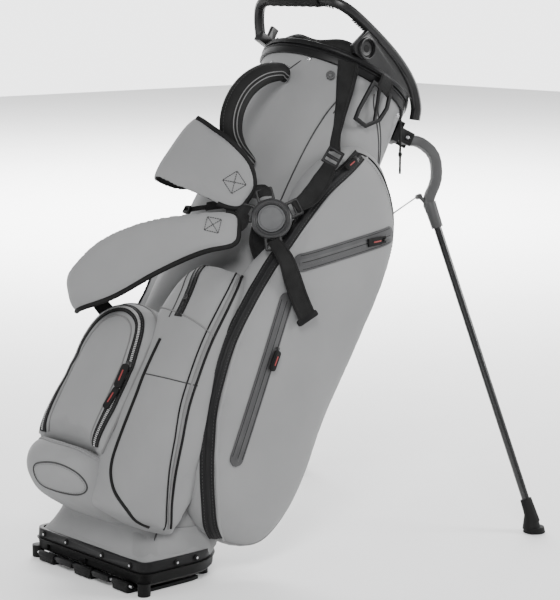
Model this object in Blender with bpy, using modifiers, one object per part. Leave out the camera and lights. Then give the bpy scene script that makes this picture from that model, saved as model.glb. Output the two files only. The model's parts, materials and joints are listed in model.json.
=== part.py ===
"""A golf stand bag leaning on its two folding legs, in metres, +Z up and +X towards the feet of the legs.

Most pieces are laid out in the bag's own axes and then leaned: z runs up the bag, x points to the
side that carries the legs, -x to the side that carries the straps, and -y to the large side pocket.
"""

import math

import bmesh
import bpy
from mathutils import Matrix, Vector

LEAN = math.radians(31.5)  # from upright, with the legs out
GAP = 0.0004  # between pieces that touch in the real bag

BOOT_FRONT, BOOT_BACK, BOOT_HALF = -0.056, 0.105, 0.130  # boot in plan, level with the ground
BOOT_LOW, BOOT_HIGH = 0.0115, 0.0300
BAND_HIGH = 0.0445
BODY_FOOT = 0.0310  # height above ground where the fabric starts
BODY_TOP, BODY_WALL = 0.788, 0.0030
COLLAR_LOW, COLLAR_HIGH = 0.782, 0.806
COLLAR_X, COLLAR_Y = 0.1130, 0.1215  # half depth and half width of the collar

RAIL_R = 0.0082
LEG_PIVOT = Vector((0.108, -0.078, 0.760))
LEG_TOP = Vector((0.1785, -0.1150, 0.6847))
LEG_END = Vector((0.4844, -0.2678, 0.3226))
LEG_AXIS = Vector((0.447, 0.895, 0.0)).normalized()
TUBE_R = 0.0060
ROD_TOP = Vector((0.134, 0.0, 0.570))
ROD_LOW = Vector((0.0945, 0.0, 0.0790))
ROD_R = 0.0030
WIRE_END = Vector((0.1620, -0.1010, 0.6920))

BAG = Matrix.Rotation(LEAN, 4, "Y")
WORLD = Matrix.Identity(4)

GREY = ((0.30, 0.30, 0.30, 1), 0.62, 0.0)
BLACK = ((0.018, 0.018, 0.018, 1), 0.45, 0.0)
WEB = ((0.012, 0.012, 0.012, 1), 0.80, 0.0)
PAD = ((0.020, 0.020, 0.020, 1), 0.70, 0.0)
LINING = ((0.05, 0.05, 0.05, 1), 0.85, 0.0)
RUBBER = ((0.015, 0.015, 0.015, 1), 0.75, 0.0)
STEEL = ((0.42, 0.42, 0.43, 1), 0.30, 1.0)
TUBE = ((0.030, 0.030, 0.032, 1), 0.30, 0.6)
TAPE = ((0.022, 0.022, 0.022, 1), 0.55, 0.0)

for old in list(bpy.data.objects):
    bpy.data.objects.remove(old, do_unlink=True)
parts = bpy.data.collections.new("golf_stand_bag")
cutters = bpy.data.collections.new("cutters")
for made in (parts, cutters):
    bpy.context.scene.collection.children.link(made)


# ---------------------------------------------------------------- helpers


def finish(name, mesh, look=None, frame=BAG, origin=None, smooth=True):
    """An object of this mesh, given in the frame's axes, with its origin at a point of them."""
    if origin is not None:
        mesh.transform(Matrix.Translation(-Vector(origin)))
    obj = bpy.data.objects.new(name, mesh)
    obj.matrix_world = frame @ Matrix.Translation(Vector(origin)) if origin is not None else frame
    if look is None:
        cutters.objects.link(obj)
        obj.hide_render = True
        obj.display_type = "WIRE"
        return obj
    parts.objects.link(obj)
    colour, roughness, metallic = look
    material = bpy.data.materials.new(name)
    material.use_nodes = True
    shader = material.node_tree.nodes["Principled BSDF"]
    shader.inputs["Base Color"].default_value = colour
    shader.inputs["Roughness"].default_value = roughness
    shader.inputs["Metallic"].default_value = metallic
    mesh.materials.clear()
    mesh.materials.append(material)
    if smooth:
        mesh.polygons.foreach_set("use_smooth", [True] * len(mesh.polygons))
        mesh.set_sharp_from_angle(angle=math.radians(35))
    return obj


def mesh_from(bm, name="mesh"):
    bmesh.ops.recalc_face_normals(bm, faces=bm.faces)
    mesh = bpy.data.meshes.new(name)
    bm.to_mesh(mesh)
    bm.free()
    return mesh


def loft(rings, closed=False):
    """A closed skin through rings of equal length. closed joins the last ring to the first."""
    bm = bmesh.new()
    rows = [[bm.verts.new(point) for point in ring] for ring in rings]
    pairs = list(zip(rows, rows[1:])) + ([(rows[-1], rows[0])] if closed else [])
    for low, high in pairs:
        for i in range(len(low)):
            j = (i + 1) % len(low)
            bm.faces.new((low[i], low[j], high[j], high[i]))
    if not closed:
        bm.faces.new(list(reversed(rows[0])))
        bm.faces.new(rows[-1])
    return mesh_from(bm)


def oval(cx, cy, a, b, n, count):
    """Points (x, y) of a superellipse of exponent n, with half sizes a and b."""
    points = []
    for k in range(count):
        t = 2 * math.pi * k / count
        c, s = math.cos(t), math.sin(t)
        points.append((cx + a * math.copysign(abs(c) ** (2 / n), c),
                       cy + b * math.copysign(abs(s) ** (2 / n), s)))
    return points


def smooth_loop(points, count):
    """A closed Catmull-Rom curve through points, cut into count equal steps."""
    fine = []
    for i in range(len(points)):
        p0, p1, p2, p3 = (Vector(points[(i + k) % len(points)]) for k in (-1, 0, 1, 2))
        for k in range(8):
            t = k / 8
            fine.append(0.5 * (2 * p1 + (p2 - p0) * t + (2 * p0 - 5 * p1 + 4 * p2 - p3) * t * t
                               + (3 * p1 - p0 - 3 * p2 + p3) * t ** 3))
    lengths = [0.0]
    for a, b in zip(fine, fine[1:] + fine[:1]):
        lengths.append(lengths[-1] + (b - a).length)
    out = []
    for k in range(count):
        at = lengths[-1] * k / count
        i = max(j for j in range(len(fine)) if lengths[j] <= at)
        share = (at - lengths[i]) / (lengths[i + 1] - lengths[i])
        out.append(fine[i].lerp(fine[(i + 1) % len(fine)], share))
    return out


def smooth_path(points, steps=6):
    """An open Catmull-Rom curve through points."""
    points = [Vector(p) for p in points]
    ends = [2 * points[0] - points[1]] + points + [2 * points[-1] - points[-2]]
    out = []
    for p0, p1, p2, p3 in zip(ends, ends[1:], ends[2:], ends[3:]):
        for k in range(steps):
            t = k / steps
            out.append(0.5 * (2 * p1 + (p2 - p0) * t + (2 * p0 - 5 * p1 + 4 * p2 - p3) * t * t
                              + (3 * p1 - p0 - 3 * p2 + p3) * t ** 3))
    return out + [points[-1]]


def ribbon(path, widths, thickness, normals):
    """A band along path. normals are its face directions, one for the path or one for each point."""
    count = len(path)
    if isinstance(normals, Vector):
        normals = [normals] * count
    if isinstance(widths, float):
        widths = [widths] * count
    rings = []
    for i, point in enumerate(path):
        along = (path[min(i + 1, count - 1)] - path[max(i - 1, 0)]).normalized()
        across = along.cross(normals[i]).normalized() * widths[i] / 2
        out = across.cross(along).normalized() * thickness / 2
        rim = out * 0.55
        rings.append([point - across - rim, point - across * 0.93 - out, point + across * 0.93 - out,
                      point + across - rim, point + across + rim, point + across * 0.93 + out,
                      point - across * 0.93 + out, point - across + rim])
    return loft(rings)


def turned_normals(path):
    """Level face directions of a band that bends round: each at a right angle to the path."""
    out = []
    for i in range(len(path)):
        along = path[min(i + 1, len(path) - 1)] - path[max(i - 1, 0)]
        out.append(Vector((-along.y, along.x, 0)).normalized())
    return out


def spread(values, count):
    """count numbers that follow the listed ones evenly."""
    out = []
    for k in range(count):
        at = (len(values) - 1) * k / (count - 1)
        i = min(int(at), len(values) - 2)
        out.append(values[i] + (values[i + 1] - values[i]) * (at - i))
    return out


def wire(path, radius, cyclic=False, sides=2):
    """A round bar along path, made by a curve's bevel."""
    curve = bpy.data.curves.new("path", "CURVE")
    curve.dimensions = "3D"
    spline = curve.splines.new("POLY")
    spline.points.add(len(path) - 1)
    for point, place in zip(spline.points, path):
        point.co = (*place, 1)
    spline.use_cyclic_u = cyclic
    curve.bevel_depth = radius
    curve.bevel_resolution = sides
    curve.use_fill_caps = True
    holder = bpy.data.objects.new("path", curve)
    cutters.objects.link(holder)
    bpy.context.view_layer.update()
    mesh = bpy.data.meshes.new_from_object(holder.evaluated_get(bpy.context.evaluated_depsgraph_get()))
    bpy.data.objects.remove(holder, do_unlink=True)
    bm = bmesh.new()
    bm.from_mesh(mesh)
    bmesh.ops.remove_doubles(bm, verts=bm.verts, dist=1e-6)
    return mesh_from(bm)


def block(low, high, bevel=0.0, turn=None):
    """A box between two corners, its edges rounded."""
    bm = bmesh.new()
    bmesh.ops.create_cube(bm, size=1)
    low, high = Vector(low), Vector(high)
    bmesh.ops.transform(bm, verts=bm.verts, matrix=Matrix.Translation((low + high) / 2)
                        @ Matrix.Diagonal((*(high - low), 1)))
    if bevel:
        bmesh.ops.bevel(bm, geom=bm.edges[:], offset=bevel, segments=2, profile=0.7, affect="EDGES")
    if turn is not None:
        bmesh.ops.transform(bm, verts=bm.verts, matrix=turn)
    return mesh_from(bm)


def rod(start, end, radius, end_radius=None, sides=20):
    """A round bar or cone between two points."""
    start, end = Vector(start), Vector(end)
    bm = bmesh.new()
    bmesh.ops.create_cone(bm, cap_ends=True, segments=sides, radius1=radius,
                          radius2=end_radius or radius, depth=(end - start).length)
    turn = (end - start).to_track_quat("Z", "Y").to_matrix().to_4x4()
    bmesh.ops.transform(bm, verts=bm.verts, matrix=Matrix.Translation((start + end) / 2) @ turn)
    return mesh_from(bm)


def plate(outline, low, high, frame):
    """A flat plate: outline is in the frame's first two axes, and low to high is along its third."""
    return loft([[frame @ Vector((x, y, z)) for x, y in outline] for z in (low, high)])


def ring_of(profile, steps, stretch):
    """A turned ring: profile is (radius, height), run top to bottom on its outer side, by a Screw."""
    bm = bmesh.new()
    points = [bm.verts.new((r, 0, z)) for r, z in profile]
    for a, b in zip(points, points[1:] + points[:1]):
        bm.edges.new((a, b))
    mesh = bpy.data.meshes.new("profile")
    bm.to_mesh(mesh)
    bm.free()
    holder = bpy.data.objects.new("profile", mesh)
    cutters.objects.link(holder)
    screw = holder.modifiers.new("Screw", "SCREW")
    screw.steps = screw.render_steps = steps
    screw.use_merge_vertices = True
    screw.merge_threshold = 0.0001
    bpy.context.view_layer.update()
    turned = bpy.data.meshes.new_from_object(holder.evaluated_get(bpy.context.evaluated_depsgraph_get()))
    bpy.data.objects.remove(holder, do_unlink=True)
    turned.transform(Matrix.Diagonal((*stretch, 1)))
    bm = bmesh.new()
    bm.from_mesh(turned)
    return mesh_from(bm)


def combine(mesh, others, operation):
    """mesh after an exact Boolean with each of the others in turn."""
    for other in others:
        base, helper = (bpy.data.objects.new("operand", operand) for operand in (mesh, other))
        cutters.objects.link(base)
        cutters.objects.link(helper)
        boolean = base.modifiers.new("Boolean", "BOOLEAN")
        boolean.operation = operation
        boolean.solver = "EXACT"
        boolean.object = helper
        bpy.context.view_layer.update()
        graph = bpy.context.evaluated_depsgraph_get()
        result = bpy.data.meshes.new_from_object(base.evaluated_get(graph))
        for used in (helper, base):
            bpy.data.objects.remove(used, do_unlink=True)
        bm = bmesh.new()
        bm.from_mesh(result)
        bmesh.ops.remove_doubles(bm, verts=bm.verts, dist=2e-6)
        bmesh.ops.dissolve_degenerate(bm, dist=2e-6, edges=bm.edges)
        mesh = mesh_from(bm)
    return mesh


def largest(mesh):
    """mesh without the slivers that a cut along a curved wall can leave beside the main piece."""
    bm = bmesh.new()
    bm.from_mesh(mesh)
    left, groups = set(bm.verts), []
    while left:
        stack, group = [left.pop()], []
        while stack:
            vert = stack.pop()
            group.append(vert)
            for edge in vert.link_edges:
                other = edge.other_vert(vert)
                if other in left:
                    left.remove(other)
                    stack.append(other)
        groups.append(group)
    groups.sort(key=len)
    for group in groups[:-1]:
        bmesh.ops.delete(bm, geom=group, context="VERTS")
    return mesh_from(bm)


def union(*meshes):
    return combine(meshes[0], meshes[1:], "UNION")


def cut(mesh, *others):
    return combine(mesh, others, "DIFFERENCE")


def mirrored(mesh):
    """A copy on the other side of the bag."""
    bm = bmesh.new()
    bm.from_mesh(mesh)
    bmesh.ops.transform(bm, verts=bm.verts, matrix=Matrix.Scale(-1, 4, (0, 1, 0)))
    bmesh.ops.reverse_faces(bm, faces=bm.faces)
    return mesh_from(bm)


def facing(centre, normal, up):
    """Axes at a point: the first across, the second up, the third along normal."""
    z = Vector(normal).normalized()
    x = Vector(up).cross(z).normalized()
    return Matrix.Translation(centre) @ Matrix((x, z.cross(x), z)).transposed().to_4x4()


# ---------------------------------------------------------------- tube of the bag

# height at x = 0, how far the section still lies level with the ground, middle, half sizes, exponent
SECTIONS = (
    (BODY_FOOT / math.cos(LEAN), 1.00, -0.000, 0.0630, 0.1255, 4.2),
    (0.095, 0.85, 0.002, 0.0735, 0.1262, 3.5),
    (0.200, 0.40, 0.000, 0.0905, 0.1262, 2.9),
    (0.350, 0.10, 0.000, 0.1060, 0.1250, 2.45),
    (0.500, 0.00, 0.000, 0.1125, 0.1235, 2.25),
    (0.650, 0.00, 0.000, 0.1110, 0.1190, 2.10),
    (BODY_TOP, 0.00, 0.000, 0.1082, 0.1165, 2.00),
)


def body_rings(grow, count=40, floor=0.0, top=0.0):
    """Rings round the bag, grown outwards by grow, with the foot raised by floor and the top by top."""
    rings = []
    last = len(SECTIONS) - 1
    for i, (height, level, middle, a, b, n) in enumerate(SECTIONS):
        rise = max(floor, 0) if i == 0 else top if i == last else 0.0
        rings.append([Vector((x, y, height + rise + level * x * math.tan(LEAN)))
                      for x, y in oval(middle, 0, a + grow, b + grow, n, count)])
    if floor < 0:
        rings.insert(0, [point + Vector((0, 0, floor)) for point in rings[0]])
    return rings


def body_envelope():
    return loft(body_rings(GAP * 2, floor=-0.02, top=0.01))


PANELS = 8  # the tube is sewn from this many long panels
tube = cut(loft(body_rings(0)), loft(body_rings(-BODY_WALL, floor=-0.02, top=0.02)))
for number in range(PANELS):
    sides = []
    for turn, flip in ((number, -1), (number + 1, 1)):
        spin = Matrix.Rotation(2 * math.pi * turn / PANELS, 4, "Z")
        low, high = ((-1, -1, -1), (1, GAP / 2, 2)) if flip < 0 else ((-1, -GAP / 2, -1), (1, 1, 2))
        sides.append(block(low, high, turn=spin))
    finish(f"shell_panel_{number + 1}", largest(cut(tube.copy(), *sides)), GREY)
foot_ring = body_rings(-BODY_WALL - GAP)[0]
finish("shell_floor", loft([foot_ring, [point + Vector((0, 0, 0.004)) for point in foot_ring]]), BLACK)


# ---------------------------------------------------------------- boot, band and foot plate


def boot_outline(grow, count=9):
    """The boot in plan: square towards the straps and round towards the legs."""
    points = []
    for cx, cy, radius, start in ((BOOT_BACK - 0.075, BOOT_HALF - 0.075, 0.075, 0),
                                  (BOOT_FRONT + 0.016, BOOT_HALF - 0.016, 0.016, 90),
                                  (BOOT_FRONT + 0.016, 0.016 - BOOT_HALF, 0.016, 180),
                                  (BOOT_BACK - 0.075, 0.075 - BOOT_HALF, 0.075, 270)):
        steps = count if radius > 0.05 else 4
        for k in range(steps + 1):
            t = math.radians(start + 90 * k / steps)
            points.append((cx + (radius + grow) * math.cos(t), cy + (radius + grow) * math.sin(t)))
    return points


def layer(grow, low, high):
    return loft([[Vector((x, y, z)) for x, y in boot_outline(grow)] for z in (low, high)])


boot = loft([[Vector((x, y, z)) for x, y in boot_outline(grow)]
             for grow, z in ((-0.004, BOOT_LOW), (0.000, BOOT_LOW + 0.004), (0.001, BOOT_HIGH - 0.004),
                             (0.0035, BOOT_HIGH))])
boot = cut(boot, layer(-0.008, BOOT_LOW - 0.01, BOOT_HIGH - 0.006))
recesses = [block((BOOT_FRONT - 0.01, y0, BOOT_LOW + 0.003), (BOOT_FRONT + 0.0035, y1, BOOT_HIGH - 0.006))
            for y0, y1 in ((0.022, 0.098), (-0.060, 0.006))]
boot = cut(boot, *recesses)
corner_feet = [rod((x, y, 0), (x, y, BOOT_LOW + 0.006), 0.0090, sides=24)
               for x in (BOOT_FRONT + 0.003,) for y in (BOOT_HALF - 0.004, 0.004 - BOOT_HALF)]
heel_feet = [rod((BOOT_BACK - 0.030, side * 0.095, 0), (BOOT_BACK - 0.030, side * 0.095, BOOT_LOW + 0.006),
                 0.0080, sides=24) for side in (-1, 1)]
boot = union(boot, *corner_feet, *heel_feet)
finish("base_boot", boot, BLACK, WORLD)


def band_ring(grow, height):
    """A ring of the band, which leans with the fabric on the side of the legs."""
    lean = (height - BOOT_HIGH) * math.tan(LEAN) / BOOT_BACK
    return [Vector((x + max(x, 0) * lean, y, height)) for x, y in boot_outline(grow)]


band = cut(loft([band_ring(0.0005, BOOT_HIGH + GAP), band_ring(0.0010, BOOT_HIGH + 0.003),
                 band_ring(0.0002, BAND_HIGH)]),
           loft([band_ring(-0.0060, BOOT_HIGH - 0.01), band_ring(-0.0062, BAND_HIGH + 0.01)]))
cut_body = body_envelope()
cut_body.transform(BAG)
band = largest(cut(band, cut_body))
rivets = []
for y in (0.105, 0.050, -0.035, -0.100):
    rivets.append(rod((BOOT_FRONT + 0.0008, y, 0.0375), (BOOT_FRONT - 0.0018, y, 0.0375), 0.0040, 0.0030, 14))
for x in (0.000, 0.035):
    for side in (-1, 1):
        rivets.append(rod((x, side * (BOOT_HALF - 0.003), 0.0375), (x, side * (BOOT_HALF + 0.0018), 0.0375),
                          0.0040, 0.0030, 14))
finish("base_rim_band", union(band, *rivets), BLACK, WORLD)

HINGE = Vector((BOOT_FRONT - 0.0065, 0, 0.0105))
sole = [(x, y) for x, y in boot_outline(-0.012) if x < 0.060]
foot_plate = plate(sole, 0.0, 0.0045, WORLD)
knuckle_bar = [rod(HINGE + Vector((0, y0, 0)), HINGE + Vector((0, y1, 0)), 0.0048, sides=18)
               for y0, y1 in ((0.070, 0.106), (-0.020, 0.020), (-0.106, -0.070))]
straps_in = [block((HINGE.x - 0.0015, y0 + 0.002, 0.0), (BOOT_FRONT + 0.020, y1 - 0.002, 0.0045))
             for y0, y1 in ((0.070, 0.106), (-0.020, 0.020), (-0.106, -0.070))]
arms = [block((HINGE.x - 0.0040, y0 + 0.002, 0.0014), (HINGE.x + 0.0040, y1 - 0.002, 0.0080))
        for y0, y1 in ((0.070, 0.106), (-0.020, 0.020), (-0.106, -0.070))]
push_tab = block((0.030, -0.014, 0.0), (BOOT_BACK + 0.022, 0.014, 0.0100), 0.001)
foot_plate = union(foot_plate, *straps_in, *arms, *knuckle_bar, push_tab)
foot_plate = cut(foot_plate, rod(HINGE - Vector((0, 0.2, 0)), HINGE + Vector((0, 0.2, 0)), 0.0026, sides=16))
finish("foot_plate", foot_plate, BLACK, WORLD, HINGE)
finish("foot_hinge_pin", rod(HINGE - Vector((0, 0.112, 0)), HINGE + Vector((0, 0.112, 0)), 0.0021, sides=16),
       STEEL, WORLD)
lugs = []
for y0, y1 in ((0.026, 0.062), (-0.062, -0.026)):
    lug = union(block((HINGE.x - 0.0045, y0, 0.0070), (BOOT_FRONT - 0.0040 - GAP, y1, 0.0150)),
                rod(HINGE + Vector((0, y0, 0)), HINGE + Vector((0, y1, 0)), 0.0048, sides=18))
    lug = cut(lug, rod(HINGE - Vector((0, 0.2, 0)), HINGE + Vector((0, 0.2, 0)), 0.0025, sides=16))
    lugs.append(lug)
for name, lug in zip(("hinge_lug_a", "hinge_lug_b"), lugs):
    finish(name, lug, BLACK, WORLD)


# ---------------------------------------------------------------- collar, top handle and dividers

outer = COLLAR_Y
collar = ring_of([(outer - 0.0160, COLLAR_HIGH - 0.001), (outer - 0.0150, COLLAR_HIGH),
                  (outer - 0.0010, COLLAR_HIGH), (outer, COLLAR_HIGH - 0.0015),
                  (outer, COLLAR_HIGH - 0.006), (outer - 0.0012, COLLAR_HIGH - 0.0072),
                  (outer - 0.0012, COLLAR_HIGH - 0.0095), (outer, COLLAR_HIGH - 0.0107),
                  (outer, COLLAR_LOW + 0.001), (outer - 0.001, COLLAR_LOW),
                  (outer - 0.0042, COLLAR_LOW), (outer - 0.0042, BODY_TOP + 0.0022),
                  (outer - 0.0160, BODY_TOP + 0.0022)], 44, (COLLAR_X / COLLAR_Y, 1, 1))
finish("collar_ring", collar, BLACK)

# crest between the posts of the handle, low in the middle and high at both ends
crest_rings = []
for k in range(25):
    t = math.radians(180 - 47 + 94 * k / 24)
    across = Vector((math.cos(t), math.sin(t), 0))
    top = COLLAR_HIGH + 0.0045 + 0.021 * abs((k - 12) / 12) ** 1.6
    a = Vector((COLLAR_X * across.x, COLLAR_Y * across.y, 0))
    for_outer, for_inner = a * 0.920, a * 0.875
    low = COLLAR_HIGH + GAP
    crest_rings.append([for_outer + Vector((0, 0, low)), for_outer + Vector((0, 0, top - 0.002)),
                        for_outer.lerp(for_inner, 0.5) + Vector((0, 0, top)),
                        for_inner + Vector((0, 0, top - 0.002)), for_inner + Vector((0, 0, low))])
finish("collar_crest", loft(crest_rings), PAD)

rail_path = smooth_path([(0.094, -0.0980, 0.786), (0.084, -0.0985, 0.806), (0.056, -0.097, 0.830),
                         (0.010, -0.0985, 0.844), (-0.045, -0.0985, 0.852), (-0.100, -0.0955, 0.857),
                         (-0.122, -0.083, 0.859), (-0.129, -0.062, 0.860), (-0.131, 0.000, 0.8605),
                         (-0.129, 0.062, 0.859), (-0.122, 0.083, 0.853), (-0.108, 0.092, 0.838),
                         (-0.094, 0.090, 0.8165)], 4)
rail = wire(rail_path, RAIL_R, sides=2)
web_outline = [(-0.070, 0.8075), (-0.079, 0.8150), (-0.066, 0.8470), (-0.045, 0.8520), (0.010, 0.8440),
               (0.056, 0.8300), (0.084, 0.8060), (0.092, 0.7880), (0.086, 0.7840), (0.080, 0.8000),
               (0.070, 0.8085)]
WEB_FRAME = Matrix(((1, 0, 0, 0), (0, 0, 1, 0), (0, 1, 0, 0), (0, 0, 0, 1)))
web = plate(web_outline, -0.1030, -0.0955, WEB_FRAME)
recess_at = Vector((-0.054, 0, 0.8240))
boss = cut(rod(recess_at - Vector((0, 0.1075, 0)), recess_at - Vector((0, 0.096, 0)), 0.0165, sides=32),
           rod(recess_at - Vector((0, 0.1200, 0)), recess_at - Vector((0, 0.100, 0)), 0.0135, sides=32))
post_foot = block((-0.1005, 0.0790, COLLAR_HIGH + GAP), (-0.0760, 0.0935, 0.8210), 0.002)
lug_flag = block((-0.0860, 0.0815, 0.8140), (-0.0720, 0.0875, 0.8390), 0.002)
near_foot = block((-0.0600, -0.1045, COLLAR_HIGH + GAP), (0.0600, -0.0950, 0.8120), 0.002)
handle = union(rail, web, boss, near_foot, post_foot, lug_flag)
finish("top_handle", handle, BLACK)

grip_path = [Vector((-0.1305, y, 0.8605)) for y in spread([-0.056, 0.056], 15)]
grip_rings = []
for k, point in enumerate(grip_path):
    radius = RAIL_R + (0.0036 if k % 2 else 0.0026)
    grip_rings.append([(point + Vector((radius * math.cos(t), 0, radius * math.sin(t))))
                       for t in (2 * math.pi * i / 16 for i in range(16))])
inner_rings = [[(point + Vector(((RAIL_R + 0.0014) * math.cos(t), 0, (RAIL_R + 0.0014) * math.sin(t))))
                for t in (2 * math.pi * i / 16 for i in range(16))]
               for point in (Vector((-0.1302, y, 0.8603)) for y in (-0.07, 0.07))]
finish("handle_grip", cut(loft(grip_rings), loft(inner_rings)), RUBBER)

dividers = union(block((-0.0880, -0.0040, 0.735), (0.0880, 0.0040, 0.7960), 0.002),
                 block((-0.0270, -0.0960, 0.735), (-0.0190, 0.0960, 0.7960), 0.002),
                 block((0.0400, -0.0900, 0.735), (0.0480, 0.0900, 0.7960), 0.002))
finish("club_dividers", dividers, LINING)


# ---------------------------------------------------------------- pockets


def pillow(outline, frame, levels, count=44):
    """A stuffed pocket: the outline lofted through (height, size) levels along the frame's third axis."""
    loop = smooth_loop([Vector((x, y)) for x, y in outline], count)
    middle = sum(loop, Vector((0, 0))) / len(loop)
    return loft([[frame @ Vector((*(middle + (p - middle) * size), height)) for p in loop]
                 for height, size in levels])


SIDE = Matrix(((1, 0, 0, 0), (0, 0, -1, 0), (0, 1, 0, 0), (0, 0, 0, 1)))  # outline x, z; height along -y
FRONT = Matrix(((0, 0, -1, 0), (1, 0, 0, 0), (0, 1, 0, 0), (0, 0, 0, 1)))  # outline y, z; height along -x

apparel_outline = [(-0.100, 0.500), (-0.118, 0.400), (-0.122, 0.290), (-0.095, 0.190), (-0.050, 0.105),
                   (0.000, 0.078), (0.055, 0.078), (0.098, 0.098), (0.122, 0.150), (0.128, 0.210),
                   (0.122, 0.310), (0.124, 0.430), (0.121, 0.530), (0.108, 0.600), (0.070, 0.655),
                   (0.015, 0.690), (-0.040, 0.680), (-0.085, 0.610)]
leg_room = block((0.070, -0.1160, 0.0), (0.20, 0.1160, 0.80))
corner_room = block((-0.30, -0.1180, -0.1), (-0.0560, 0.30, 0.9))
apparel = cut(pillow(apparel_outline, SIDE, ((0.070, 0.95), (0.120, 1.0), (0.140, 1.0), (0.152, 0.965),
                                            (0.160, 0.89), (0.1635, 0.76), (0.165, 0.55))),
              leg_room, corner_room, body_envelope())
finish("apparel_pocket", largest(apparel), GREY)

far_outline = [(-0.050, 0.500), (-0.062, 0.400), (-0.064, 0.260), (-0.050, 0.150), (0.000, 0.105),
               (0.060, 0.110), (0.098, 0.160), (0.106, 0.260), (0.104, 0.400), (0.090, 0.510), (0.020, 0.545)]
far_pocket = cut(pillow(far_outline, SIDE, ((0.060, 0.94), (0.110, 1.0), (0.138, 1.0), (0.148, 0.96),
                                           (0.154, 0.86), (0.157, 0.60)), 36), body_envelope(), leg_room)
far_pocket = mirrored(far_pocket)
finish("far_side_pocket", largest(far_pocket), GREY)

ball_outline = [(-0.074, 0.124), (-0.076, 0.200), (-0.073, 0.280), (-0.055, 0.327), (-0.020, 0.346),
                (0.030, 0.348), (0.068, 0.332), (0.089, 0.290), (0.096, 0.210), (0.097, 0.124),
                (0.050, 0.1205), (-0.030, 0.1205)]
floor_keep = block((-0.30, -0.30, -0.1), (0.10, 0.30, 0.1225))
ball = cut(pillow(ball_outline, FRONT, ((0.050, 0.98), (0.100, 1.0), (0.150, 1.0), (0.162, 0.97),
                                        (0.171, 0.90), (0.176, 0.72)), 40), floor_keep, body_envelope())
finish("ball_pocket", largest(ball), GREY)

belly_rings = []
for height, grow_x, grow_y in ((0.0520, 0.100, 0.078), (0.0580, 0.118, 0.084), (0.0750, 0.142, 0.090),
                               (0.0950, 0.150, 0.093), (0.1100, 0.148, 0.092), (0.1220, 0.140, 0.089)):
    belly_rings.append([Vector((x, y, height)) for x, y in oval(-0.045, 0.012, grow_x, grow_y, 3.0, 40)])
side_keep = block((-0.30, -0.30, -0.1), (0.3, -0.0785, 0.5))
back_keep = block((-0.0450, -0.30, -0.1), (0.3, 0.30, 0.5))
belly = cut(loft(belly_rings), back_keep, side_keep, body_envelope())
finish("ball_pocket_gusset", largest(belly), GREY)

corner_rings = []
for height, a, b in ((0.056, 0.055, 0.052), (0.066, 0.066, 0.061), (0.120, 0.080, 0.071),
                     (0.240, 0.084, 0.074), (0.340, 0.080, 0.070), (0.400, 0.069, 0.062),
                     (0.430, 0.050, 0.048)):
    corner_rings.append([Vector((x, y, height)) for x, y in oval(-0.080, -0.078, a, b, 2.6, 40)])
ball_keep = block((-0.30, -0.0790, -0.1), (0.3, 0.30, 0.9))
apparel_room = pillow(apparel_outline, SIDE, ((0.1170, 1.004), (0.30, 1.004)))
corner = cut(loft(corner_rings), ball_keep, block((-0.0565, -0.3, -0.1), (0.3, 0.3, 0.9)), apparel_room,
             body_envelope())
finish("corner_pocket", largest(corner), GREY)


# ---------------------------------------------------------------- zips


def slab(points, width, thick, normal, rise=0.0):
    """A flat tape along points of a face whose outward direction is normal."""
    return ribbon([Vector(p) + Vector(normal) * rise for p in points], width, thick, Vector(normal))


OUT = Vector((0, -1, 0))
ZIP_A = (Vector((-0.060, -0.1670, 0.4900)), Vector((0.078, -0.1670, 0.5880)))  # inclined, upper
ZIP_B = (Vector((-0.052, -0.1670, 0.4200)), Vector((-0.020, -0.1670, 0.1950)))  # long, lower
for name, (a, b) in (("inclined_zip", ZIP_A), ("lower_zip", ZIP_B)):
    middle, along = (a + b) / 2, (b - a).normalized()
    half = (b - a).length / 2
    frame = facing(middle, OUT, along)
    body = block((-0.0095, -half, -0.0010), (0.0095, half, 0.0014), 0.0008, frame)
    finish(name, body, TAPE)


def zip_slider(name, track, share, look):
    """A slider on its track, with a loop for the puller."""
    a, b = track
    place = a.lerp(b, share) + OUT * 0.0020
    frame = facing(place, OUT, (b - a).normalized())
    body = block((-0.0048, -0.0062, 0.0000), (0.0048, 0.0062, 0.0022), 0.0007, frame)
    bridge = cut(block((-0.0016, -0.0042, 0.0015), (0.0016, 0.0042, 0.0072), 0.0, frame),
                 block((-0.0100, -0.0026, 0.0025), (0.0100, 0.0026, 0.0057), 0.0, frame))
    finish(name, union(body, bridge), look, origin=place)
    return frame


def puller(name, frame, look, length=0.034, turn=0.0):
    """A moulded tab that hangs from its slider's loop."""
    eye = frame @ Vector((0, 0.0000, 0.0041))
    spin = frame @ Matrix.Translation((0, 0, 0.0041)) @ Matrix.Rotation(turn, 4, "Z")
    tab = block((-0.0058, -length, -0.0019), (0.0058, -0.0078, 0.0019), 0.0012, spin)
    side_a = block((-0.0052, -0.0095, -0.0009), (-0.0026, 0.0010, 0.0009), 0.0, spin)
    side_b = block((0.0026, -0.0095, -0.0009), (0.0052, 0.0010, 0.0009), 0.0, spin)
    bar = block((-0.0052, -0.0008, -0.0008), (0.0052, 0.0008, 0.0008), 0.0, spin)
    finish(name, union(tab, side_a, side_b, bar), look, origin=eye)


frame_a = zip_slider("inclined_zip_slider", ZIP_A, 0.90, STEEL)
puller("inclined_zip_puller", frame_a, RUBBER)
zip_slider("lower_zip_slider", ZIP_B, 0.30, STEEL)


# ---------------------------------------------------------------- straps, pads and hub

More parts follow.
